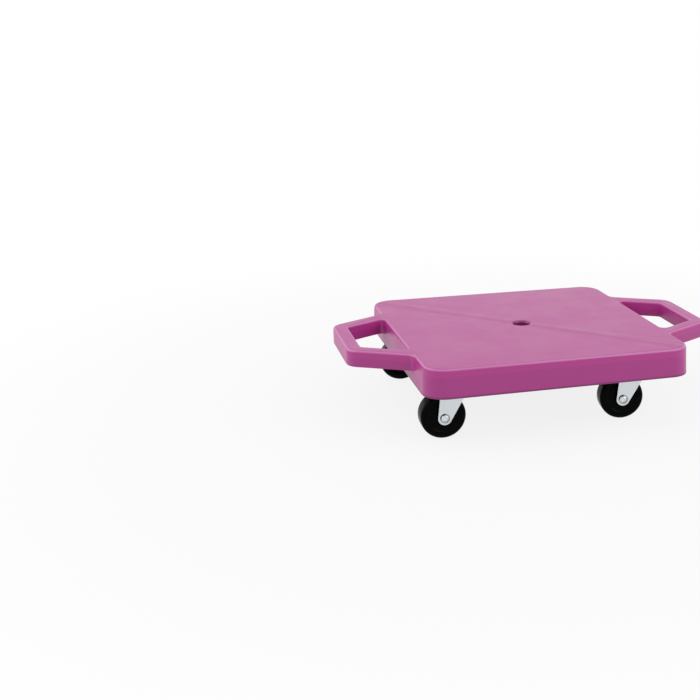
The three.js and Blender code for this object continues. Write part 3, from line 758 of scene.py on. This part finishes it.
def wheel_mesh():
    """A wheel about its own axle, along Z, with a dished web between rim and hub."""
    wheel = settings("wheel")
    tread = wheel.diameter / 2
    side = wheel.width / 2
    hub = wheel.hub_diameter / 2
    slope = tread - wheel.shoulder - wheel.rim
    outline = rounded(
        [
            (tread, -side, wheel.shoulder),
            (tread, side, wheel.shoulder),
            (slope, side, wheel.edge),
            (slope - wheel.rim_slope, side - wheel.web_dish, wheel.edge),
            (hub, side - wheel.web_dish, wheel.edge),
            (hub, side + wheel.hub_stand, wheel.edge),
            (wheel.bore / 2, side + wheel.hub_stand, wheel.edge),
            (wheel.bore / 2, -side - wheel.hub_stand, wheel.edge),
            (hub, -side - wheel.hub_stand, wheel.edge),
            (hub, wheel.web_dish - side, wheel.edge),
            (slope - wheel.rim_slope, wheel.web_dish - side, wheel.edge),
            (slope, -side, wheel.edge),
        ]
    )
    return turned("wheel", outline, steps=128, closed=True)


class SCOOTERBOARD_OT_wheels(bpy.types.Operator):
    """Builds the four moulded wheels"""

    bl_idname = "scooter_board.wheels"
    bl_label = "Build Wheels"

    def execute(self, context):
        mesh = wheel_mesh()
        material = moulded_black_polyolefin()
        for name in CASTERS:
            place = caster_place(name) @ axle_place()
            put(
                name + "_moulded_wheel",
                mesh,
                material,
                place,
                name + "_roller",
                "black_polyolefin",
                name + "_wheel",
            )
        return {"FINISHED"}


# Forks

# How many rows of points go over the round of an ear, and over the crown and over a bend
EAR_STEPS = 14
CROWN_STEPS = 12


def leg_edges(fork, wheel_radius):
    """A function that gives a leg's rear and front edge at a height, and the heights where they turn."""
    axle = Vector((-fork.trail, wheel_radius))
    rear = axle.x - fork.ear_radius
    root = Vector((rear + fork.leg_top, fork.crown_top - fork.sheet - fork.nose_lip))
    to_root = root - axle
    touch = math.atan2(to_root.y, to_root.x) - math.acos(fork.ear_radius / to_root.length)
    start = axle + fork.ear_radius * Vector((math.cos(touch), math.sin(touch)))
    rise = (root - start).normalized()
    half = (math.pi - math.acos(rise.x)) / 2
    turn_in = fork.sweep / math.tan(half)
    centre = Vector((root.x + turn_in, root.y - fork.sweep))
    sweep_low = root.y - turn_in * rise.y
    shoulder_high = fork.crown_top - 2 * fork.sheet
    shoulder = Vector((rear + fork.lean, fork.crown_top - fork.sheet - fork.leg_shoulder))
    to_shoulder = shoulder - axle
    leave = math.atan2(to_shoulder.y, to_shoulder.x) + math.acos(fork.ear_radius / to_shoulder.length)
    heel = axle + fork.ear_radius * Vector((math.cos(leave), math.sin(leave)))

    def edges(z):
        """Where a leg's rear and front edge lie at a height."""
        reach = math.sqrt(max(0, fork.ear_radius**2 - (z - axle.y) ** 2))
        if z < heel.y:
            back = axle.x - reach
        elif z < shoulder.y:
            back = heel.x + (z - heel.y) / (shoulder.y - heel.y) * (shoulder.x - heel.x)
        else:
            share = min(1, (z - shoulder.y) / (shoulder_high - shoulder.y))
            back = shoulder.x + share * (-fork.crown_radius - shoulder.x)
        front = start.x + (z - start.y) * rise.x / rise.y
        if z < start.y:
            front = axle.x + reach
        elif z > sweep_low:
            front = centre.x - math.sqrt(max(0, fork.sweep**2 - (z - centre.y) ** 2))
        return back, front

    steps = EAR_STEPS
    ear = [axle.y - fork.ear_radius * math.sin(math.pi / 2 * k / steps) for k in range(steps + 1)]
    sweep_angle = math.asin((sweep_low - centre.y) / fork.sweep)
    sweep = [
        centre.y + fork.sweep * math.sin(sweep_angle + (math.pi / 2 - sweep_angle) * k / steps)
        for k in range(steps)
    ]
    heights = sorted({*ear, *sweep, start.y, heel.y, shoulder.y, shoulder_high}, reverse=True)
    return edges, heights, root.y


def fork_rows(fork, wheel_radius):
    """Rows over the bent sheet from the crown's middle to an ear's tip, as (y, z, slope, rear, front)."""
    half = fork.width / 2
    flat = half - fork.bend
    edges, heights, lip = leg_edges(fork, wheel_radius)
    bend_end = fork.crown_top - fork.bend
    rows = []
    steps = CROWN_STEPS
    for k in range(steps + 1):
        rows.append((flat * k / steps, fork.crown_top, 0))
    lip_slope = math.acos(1 - (fork.crown_top - lip) / fork.bend)
    for k in range(1, steps + 1):
        slope = lip_slope * k / steps
        rows.append((flat + fork.bend * math.sin(slope), bend_end + fork.bend * math.cos(slope), slope))
    crown = [
        (y, z, slope, -fork.crown_radius, math.sqrt(fork.crown_radius**2 - y**2)) for y, z, slope in rows
    ]
    legs = []
    for z in [lip - WELD, *heights]:
        slope = math.acos(1 - (fork.crown_top - z) / fork.bend) if z > bend_end else math.pi / 2
        legs.append((flat + fork.bend * math.sin(slope), z, slope, *edges(z)))
    return crown + legs


def fork_mesh():
    """The fork: a zinc-plated pressing bent down at both sides, with an embossed ear on each."""
    fork = settings("fork")
    hardware = settings("hardware")
    wheel_radius = settings("wheel").diameter / 2
    half_rows = fork_rows(fork, wheel_radius)
    rows = [(-y, z, -slope, rear, front) for y, z, slope, rear, front in reversed(half_rows[1:])] + half_rows

    def build(bm):
        loops = []
        for y, z, slope, rear, front in rows:
            inner_y = y - fork.sheet * math.sin(slope)
            inner_z = z - fork.sheet * math.cos(slope)
            corners = [(rear, y, z), (front, y, z), (front, inner_y, inner_z), (rear, inner_y, inner_z)]
            loops.append([bm.verts.new(corner) for corner in corners])
        for first, second in zip(loops, loops[1:]):
            for i in range(4):
                j = (i + 1) % 4
                bm.faces.new((first[i], first[j], second[j], second[i]))
        bmesh.ops.remove_doubles(bm, verts=bm.verts, dist=2 * WELD)
        bmesh.ops.dissolve_degenerate(bm, edges=bm.edges, dist=2 * WELD)

    sheet = edges_rounded(mesh_of("fork", build), fork.edge)
    half = fork.width / 2
    inner = half - fork.sheet
    deep = half - fork.recess_depth
    past = half + fork.sheet
    boss = [(fork.boss_radius, inner - fork.boss_height), (fork.boss_radius, inner + fork.sheet / 2)]
    swelling = [(0, boss[0][1]), *boss, (0, boss[1][1])]
    hollow = [(0, deep), (fork.recess_radius, deep), (fork.recess_radius, past), (0, past)]
    hole = [(0, -past), (fork.axle_hole, -past), (fork.axle_hole, past), (0, past)]
    turned_over = Matrix.Rotation(math.pi, 4, "X")
    pairs = []
    for side in (Matrix.Identity(4), turned_over):
        pairs.append(("UNION", tool(turned("swelling", swelling), axle_place() @ side)))
        pairs.append(("DIFFERENCE", tool(turned("hollow", hollow), axle_place() @ side)))
    pairs.append(("DIFFERENCE", tool(turned("axle_hole", hole), axle_place())))
    low = fork.crown_top - 2 * fork.sheet
    high = fork.crown_top + fork.sheet
    pin = [(0, low), (fork.pin_hole, low), (fork.pin_hole, high), (0, high)]
    pairs.append(("DIFFERENCE", tool(turned("pin_hole", pin))))
    pairs.append(("DIFFERENCE", tool(race_tool(hardware, fork))))
    return edges_rounded(with_tools(sheet, pairs), fork.pressed_edge)


def race_tool(hardware, fork):
    """A ring that cuts the groove that the balls run in, above and below them."""
    radius = hardware.ball / 2 + hardware.clearance
    level = fork.crown_top + hardware.race_gap / 2
    circle = ball_circle(hardware, fork)
    steps = 24
    section = []
    for k in range(steps):
        angle = 2 * math.pi * k / steps
        section.append((circle + radius * math.cos(angle), level + radius * math.sin(angle)))
    return turned("race", section, closed=True)


def ball_circle(hardware, fork):
    """Radius of the circle that the balls' middles run on."""
    return fork.width / 2 - fork.bend - hardware.ball / 2


class SCOOTERBOARD_OT_forks(bpy.types.Operator):
    """Presses the four forks"""

    bl_idname = "scooter_board.forks"
    bl_label = "Press Forks"

    def execute(self, context):
        mesh = fork_mesh()
        material = bright_zinc_plated_steel(pressed=True)
        for name in CASTERS:
            put(
                name + "_pressed_fork",
                mesh,
                material,
                caster_place(name),
                name + "_swivel",
                "zinc_plate",
                name + "_fork",
            )
        return {"FINISHED"}


# Axles

# Radius of the edges of cut and headed steel
CUT_EDGE = 0.15 * MM


def rivet_mesh():
    """The axle rivet: a shank with a domed head at each end, dimpled by the tool that set it."""
    hardware = settings("hardware")
    fork = settings("fork")
    seat = fork.width / 2 - fork.recess_depth + hardware.clearance
    head = hardware.axle_head / 2
    top = seat + hardware.axle_head_height
    # The head is a disc up to this height, and a dome from there to its flat middle
    rim = seat + hardware.axle_head_height * 0.45
    flat = head * 0.66
    dimple = head * 0.28
    dimple_floor = top - 0.3 * MM
    dimple_edge = 0.2 * MM
    side_round = 0.7 * MM
    dome_round = 1.1 * MM
    crown = rounded(
        [
            (hardware.axle / 2, seat, 0),
            (head, seat, CUT_EDGE),
            (head, rim, side_round),
            (flat, top, dome_round),
            (dimple, top, dimple_edge),
            (dimple * 0.5, dimple_floor, dimple_edge),
            (0, dimple_floor, 0),
        ]
    )
    return turned("axle_rivet", mirrored([tuple(point) for point in crown]))


def sleeve_mesh():
    """The sleeve: a cut tube that the wheel turns on."""
    hardware = settings("hardware")
    wheel = settings("wheel")
    bore = hardware.axle / 2 + hardware.clearance
    outside = bore + hardware.sleeve_wall
    half = wheel.width / 2 + wheel.hub_stand + hardware.clearance
    section = [(bore, -half), (outside, -half), (outside, half), (bore, half)]
    return turned("axle_sleeve", rounded([(*corner, CUT_EDGE) for corner in section]), closed=True)


class SCOOTERBOARD_OT_axles(bpy.types.Operator):
    """Builds the four axle rivets and their sleeves"""

    bl_idname = "scooter_board.axles"
    bl_label = "Build Axles"

    def execute(self, context):
        rivet = rivet_mesh()
        sleeve = sleeve_mesh()
        material = bright_zinc_plated_steel()
        for name in CASTERS:
            place = caster_place(name) @ axle_place()
            body = name + "_swivel"
            put(name + "_set_rivet", rivet, material, place, body, "zinc_plate", name + "_axle_rivet")
            put(name + "_cut_sleeve", sleeve, material, place, body, "zinc_plate", name + "_axle_sleeve")
        return {"FINISHED"}


# Swivels

# How finely the ring round the balls, and each ball, are drawn
CAGE_STEPS = 96
BALL_SEGMENTS = {"u_segments": 28, "v_segments": 16}


def ball_ring_mesh():
    """The swivel's balls and the ring that spaces them."""
    hardware = settings("hardware")
    fork = settings("fork")
    circle = ball_circle(hardware, fork)
    level = fork.crown_top + hardware.race_gap / 2
    half = hardware.cage_width / 2
    rise = hardware.cage_thickness / 2
    cage = rounded(
        [
            (circle - half, level - rise, rise / 2),
            (circle + half, level - rise, rise / 2),
            (circle + half, level + rise, rise / 2),
            (circle - half, level + rise, rise / 2),
        ]
    )

    def build(bm):
        add_turned(bm, cage, CAGE_STEPS, closed=True)
        for k in range(hardware.balls):
            angle = 2 * math.pi * k / hardware.balls
            place = Matrix.Translation((circle * math.cos(angle), circle * math.sin(angle), level))
            bmesh.ops.create_uvsphere(bm, **BALL_SEGMENTS, radius=hardware.ball / 2, matrix=place)

    return mesh_of("ball_ring", build)


def kingpin_mesh():
    """The kingpin: a rivet whose two headed ends hold plate and fork together."""
    hardware = settings("hardware")
    fork = settings("fork")
    gap = hardware.clearance
    crown_under = fork.crown_top - fork.sheet
    low = crown_under - gap - hardware.washer_thickness - gap
    high = plate_top(hardware, fork) + gap
    shank = hardware.kingpin / 2
    head = hardware.kingpin_head / 2
    tall = hardware.kingpin_head_height
    edge = tall / 4
    # A head's outer face is flat out to this radius, and its side is upright over this height
    face = head * 0.6
    side = tall * 0.3
    profile = rounded(
        [
            (0, low - tall, 0),
            (face, low - tall, edge * 2),
            (head, low - side, edge),
            (head, low, edge / 2),
            (shank, low, 0),
            (shank, high, 0),
            (head, high, edge / 2),
            (head, high + side, edge),
            (face, high + tall, edge * 2),
            (0, high + tall, 0),
        ]
    )
    return turned("kingpin", [tuple(point) for point in profile])


def washer_mesh():
    """The washer below the crown, with its lower edge turned down."""
    hardware = settings("hardware")
    fork = settings("fork")
    high = fork.crown_top - fork.sheet - hardware.clearance
    low = high - hardware.washer_thickness
    bore = hardware.kingpin / 2 + hardware.clearance
    outside = hardware.washer / 2
    step = hardware.washer_thickness
    edge = step / 5
    corners = [
        (bore, low, edge),
        (outside - step, low, edge),
        (outside, high - step / 2, edge),
        (outside, high, edge),
        (bore, high, edge),
    ]
    return turned("race_washer", rounded(corners), closed=True)


def plate_top(hardware, fork):
    """Height of a caster plate's upper face, which the deck's pad rests on."""
    return fork.crown_top + hardware.race_gap + hardware.plate_thickness


def screw_places(hardware):
    """Where a plate's four screws go, in the order of their nodes."""
    x = hardware.plate_length / 2 - hardware.screw_inset
    y = hardware.plate_width / 2 - hardware.screw_inset
    return [(-x, -y), (x, -y), (x, y), (-x, y)]


def circle_outline(x, y, radius, steps=48):
    """Points of a circle about a middle."""
    angles = [2 * math.pi * k / steps for k in range(steps)]
    return [Vector((x + radius * math.cos(a), y + radius * math.sin(a))) for a in angles]


def plate_mesh():
    """The caster's top plate: sheared, pierced for its screws and grooved for the balls."""
    hardware = settings("hardware")
    fork = settings("fork")
    x = hardware.plate_length / 2
    y = hardware.plate_width / 2
    corner = hardware.plate_corner
    outlines = [rounded([(x, -y, corner), (x, y, corner), (-x, y, corner), (-x, -y, corner)])]
    outlines.append(circle_outline(0, 0, fork.pin_hole))
    outlines += [circle_outline(*place, hardware.screw_hole) for place in screw_places(hardware)]
    curve = bpy.data.curves.new("plate_outline", "CURVE")
    curve.dimensions = "2D"
    curve.fill_mode = "BOTH"
    curve.extrude = hardware.plate_thickness / 2 - hardware.plate_edge
    curve.bevel_depth = hardware.plate_edge
    curve.bevel_resolution = 2
    curve.offset = -hardware.plate_edge
    for outline in outlines:
        spline = curve.splines.new("POLY")
        spline.points.add(len(outline) - 1)
        for point, spot in zip(spline.points, outline):
            point.co = (spot.x, spot.y, 0, 1)
        spline.use_cyclic_u = True
    holder = bpy.data.objects.new("plate_holder", curve)
    bpy.context.scene.collection.objects.link(holder)
    bpy.context.view_layer.update()
    blank = bpy.data.meshes.new_from_object(holder.evaluated_get(bpy.context.evaluated_depsgraph_get()))
    bpy.data.objects.remove(holder)
    middle = plate_top(hardware, fork) - hardware.plate_thickness / 2

    def build(bm):
        bm.from_mesh(blank)
        bmesh.ops.translate(bm, verts=bm.verts, vec=(0, 0, middle))

    whole = mesh_of("caster_plate", build)
    return with_tools(whole, [("DIFFERENCE", tool(race_tool(hardware, fork)))])


class SCOOTERBOARD_OT_swivels(bpy.types.Operator):
    """Builds each caster's plate, ball ring, washer and kingpin"""

    bl_idname = "scooter_board.swivels"
    bl_label = "Build Swivels"

    def execute(self, context):
        zinc = bright_zinc_plated_steel()
        steel = polished_bearing_steel()
        plate = plate_mesh()
        balls = ball_ring_mesh()
        washer = washer_mesh()
        kingpin = kingpin_mesh()
        for name in CASTERS:
            foot = caster_foot(name)
            put(name + "_sheared_plate", plate, zinc, foot, "board", "zinc_plate", name + "_caster_plate")
            put(name + "_turned_washer", washer, zinc, foot, "board", "zinc_plate", name + "_race_washer")
            put(name + "_headed_kingpin", kingpin, zinc, foot, "board", "zinc_plate", name + "_kingpin")
            put(
                name + "_caged_balls",
                balls,
                steel,
                caster_place(name),
                name + "_swivel",
                "bearing_steel",
                name + "_ball_ring",
            )
        return {"FINISHED"}


# Screws

# Radius of a head's edges. Here edges that turn less are rounded too, so that the chamfer's are.
HEAD_EDGE = 0.12 * MM
HEAD_ANGLE = math.radians(30)

# Points round the thread, its rows in one turn, and the share of its radius left at the tip
THREAD_STEPS = 20
THREAD_ROWS = 8
BLUNT = 0.02


def screw_mesh():
    """A hex-headed screw that cuts its own thread in plastic, head down."""
    hardware = settings("hardware")
    fork = settings("fork")
    seat = plate_top(hardware, fork) - hardware.plate_thickness - hardware.clearance
    low = seat - hardware.screw_head_height
    corner = hardware.screw_head / 2
    flat = corner * math.cos(math.pi / 6)
    # The head's lower corners are cut back by a cone, which runs out past them by this much
    past = (corner - flat) * 0.8
    cone_slope = 0.7
    hexagon = turned("hexagon", [(0, low), (corner, low), (corner, seat), (0, seat)], steps=6)
    cone = [
        (0, low - MM),
        (flat - MM, low - MM),
        (flat, low),
        (corner + past, low + (corner + past - flat) * cone_slope),
        (corner + past, seat + MM),
        (0, seat + MM),
    ]
    head = with_tools(hexagon, [("INTERSECT", tool(turned("cone", cone)))])
    head = edges_rounded(head, HEAD_EDGE, HEAD_ANGLE)
    major = hardware.screw / 2
    core = hardware.screw_core / 2
    steps = THREAD_STEPS
    count = round(hardware.screw_length / hardware.screw_pitch * THREAD_ROWS)
    point = hardware.screw

    def build(bm):
        bm.from_mesh(head)
        loops = []
        for row in range(count + 1):
            height = hardware.screw_length * row / count
            taper = min(1, (hardware.screw_length - height) / point)
            loop = []
            for k in range(steps):
                phase = (height / hardware.screw_pitch - k / steps) % 1
                # A crest fills the middle half of each turn, and its sides are straight
                crest = max(0, 1 - abs(phase - 0.5) * 4)
                radius = (core + (major - core) * crest) * max(taper, BLUNT)
                angle = 2 * math.pi * k / steps
                spot = (radius * math.cos(angle), radius * math.sin(angle), seat + height)
                loop.append(bm.verts.new(spot))
            loops.append(loop)
        bm.faces.new(reversed(loops[0]))
        bm.faces.new(loops[-1])
        for first, second in zip(loops, loops[1:]):
            for k in range(steps):
                j = (k + 1) % steps
                bm.faces.new((first[k], first[j], second[j], second[k]))

    return mesh_of("hex_screw", build)


class SCOOTERBOARD_OT_screws(bpy.types.Operator):
    """Builds the sixteen hex-headed screws that hold the casters"""

    bl_idname = "scooter_board.screws"
    bl_label = "Build Screws"

    def execute(self, context):
        mesh = screw_mesh()
        material = bright_zinc_plated_steel()
        for name in CASTERS:
            for i, (x, y) in enumerate(screw_places(settings("hardware")), start=1):
                place = caster_foot(name) @ Matrix.Translation((x, y, 0))
                put(
                    f"{name}_hex_screw_{i}",
                    mesh,
                    material,
                    place,
                    "board",
                    "zinc_plate",
                    f"{name}_screw_{i}",
                )
        return {"FINISHED"}


# Stage

PICTURE_SIDE = 700
SENSOR_WIDTH = 36

# How far the floor reaches from its middle, in metres
FLOOR_REACH = 8

# Each softbox's width and height, its place, and the height of the point above the origin that it faces
SOFTBOXES = {
    "overhead": ((1.6, 1.6), (0.1, 0.25, 1.5), 0),
    "front": ((1.8, 1.4), (1.2, -1.15, 1.1), DECK_TOP / 2),
    "left": ((1.8, 1.4), (-1.4, 0.35, 0.8), DECK_TOP / 2),
    "back": ((1.8, 0.5), (0.7, 2.2, 0.5), DECK_TOP),
}


def camera_frame(stage):
    """The camera's right, down and forward directions."""
    sin_az, cos_az = math.sin(stage.azimuth), math.cos(stage.azimuth)
    sin_el, cos_el = math.sin(stage.elevation), math.cos(stage.elevation)
    forward = Vector((sin_az * cos_el, cos_az * cos_el, -sin_el))
    level = forward.cross(Vector((0, 0, 1))).normalized()
    steep = forward.cross(level)
    right = level * math.cos(stage.roll) + steep * math.sin(stage.roll)
    down = steep * math.cos(stage.roll) - level * math.sin(stage.roll)
    return right, down, forward


def add_camera(stage):
    """A camera that sees the board as the photograph does, with the deck's middle at the pixel aimed at."""
    middle = PICTURE_SIDE / 2
    right, down, forward = camera_frame(stage)
    across = (stage.aim_across - stage.lens_across) / stage.focal_pixels * stage.distance
    below = (stage.aim_down - middle) / stage.focal_pixels * stage.distance
    place = Vector((0, 0, DECK_TOP)) - right * across - down * below - forward * stage.distance
    data = bpy.data.cameras.new("camera")
    data.sensor_fit = "HORIZONTAL"
    data.sensor_width = SENSOR_WIDTH
    data.lens = SENSOR_WIDTH * stage.focal_pixels / PICTURE_SIDE
    data.shift_x = (middle - stage.lens_across) / PICTURE_SIDE
    camera = bpy.data.objects.new("camera", data)
    turn = Matrix((right, -down, -forward)).transposed()
    camera.matrix_world = Matrix.Translation(place) @ turn.to_4x4()
    bpy.context.scene.collection.objects.link(camera)
    bpy.context.scene.camera = camera


def add_softbox(name, power, size, place, aim):
    """A large soft lamp that shines from a place towards a point."""
    data = bpy.data.lights.new(name, "AREA")
    data.shape = "RECTANGLE"
    data.size, data.size_y = size
    data.energy = power
    lamp = bpy.data.objects.new(name, data)
    lamp.location = place
    lamp.visible_camera = False
    lamp.rotation_euler = (Vector(aim) - Vector(place)).to_track_quat("-Z", "Y").to_euler()
    bpy.context.scene.collection.objects.link(lamp)


def add_sky(stage):
    """Plain light from all round, which shows as white behind the object and in its gloss."""
    world = bpy.data.worlds.new("studio")
    world.use_nodes = True
    tree = world.node_tree
    tree.nodes.clear()
    plain = add(tree, "ShaderNodeBackground", {"Color": (1, 1, 1), "Strength": stage.sky})
    add(tree, "ShaderNodeOutputWorld", {"Surface": white_where_seen(tree, plain, 1)})
    bpy.context.scene.world = world


class SCOOTERBOARD_OT_stage(bpy.types.Operator):
    """Sets the floor, the lights and the camera"""

    bl_idname = "scooter_board.stage"
    bl_label = "Set Stage"

    def execute(self, context):
        stage = settings("stage")
        corners = [(x * FLOOR_REACH, y * FLOOR_REACH, 0) for x, y in ((-1, -1), (1, -1), (1, 1), (-1, 1))]
        floor_mesh = mesh_of(
            "studio_floor",
            lambda bm: bm.faces.new([bm.verts.new(corner) for corner in corners]),
        )
        floor_mesh.materials.append(studio_floor())
        floor = bpy.data.objects.new("studio_floor", floor_mesh)
        context.scene.collection.objects.link(floor)
        for name, (size, place, aim) in SOFTBOXES.items():
            add_softbox(name + "_softbox", getattr(stage, name), size, place, (0, 0, aim))
        add_sky(stage)
        add_camera(stage)
        context.scene.view_settings.view_transform = "Standard"
        return {"FINISHED"}


# Panel and registering

OPERATORS = (
    SCOOTERBOARD_OT_deck,
    SCOOTERBOARD_OT_wheels,
    SCOOTERBOARD_OT_forks,
    SCOOTERBOARD_OT_axles,
    SCOOTERBOARD_OT_swivels,
    SCOOTERBOARD_OT_screws,
    SCOOTERBOARD_OT_stage,
)


class SCOOTERBOARD_PT_panel(bpy.types.Panel):
    """Lists the steps that build the board's finished pieces"""

    bl_label = "Scooter Board"
    bl_space_type = "VIEW_3D"
    bl_region_type = "UI"
    bl_category = "Scooter Board"

    def draw(self, context):
        for step in OPERATORS:
            self.layout.operator(step.bl_idname)


GROUPS = {
    "colours": ScooterBoardColours,
    "deck": ScooterBoardDeck,
    "wheel": ScooterBoardWheel,
    "fork": ScooterBoardFork,
    "hardware": ScooterBoardHardware,
    "stage": ScooterBoardStage,
}


def register():
    """Registers the classes, and gives every scene the settings."""
    for group in GROUPS.values():
        bpy.utils.register_class(group)
    for name, group in GROUPS.items():
        setattr(bpy.types.Scene, "scooter_board_" + name, PointerProperty(type=group))
    for step in (*OPERATORS, SCOOTERBOARD_PT_panel):
        bpy.utils.register_class(step)


def unregister():
    """Takes away what register added."""
    for step in reversed((*OPERATORS, SCOOTERBOARD_PT_panel)):
        bpy.utils.unregister_class(step)
    for name, group in reversed(GROUPS.items()):
        delattr(bpy.types.Scene, "scooter_board_" + name)
        bpy.utils.unregister_class(group)


def main():
    """Builds everything in order."""
    register()
    bpy.ops.scooter_board.deck()
    bpy.ops.scooter_board.wheels()
    bpy.ops.scooter_board.forks()
    bpy.ops.scooter_board.axles()
    bpy.ops.scooter_board.swivels()
    bpy.ops.scooter_board.screws()
    bpy.ops.scooter_board.stage()


if __name__ == "__main__":
    main()
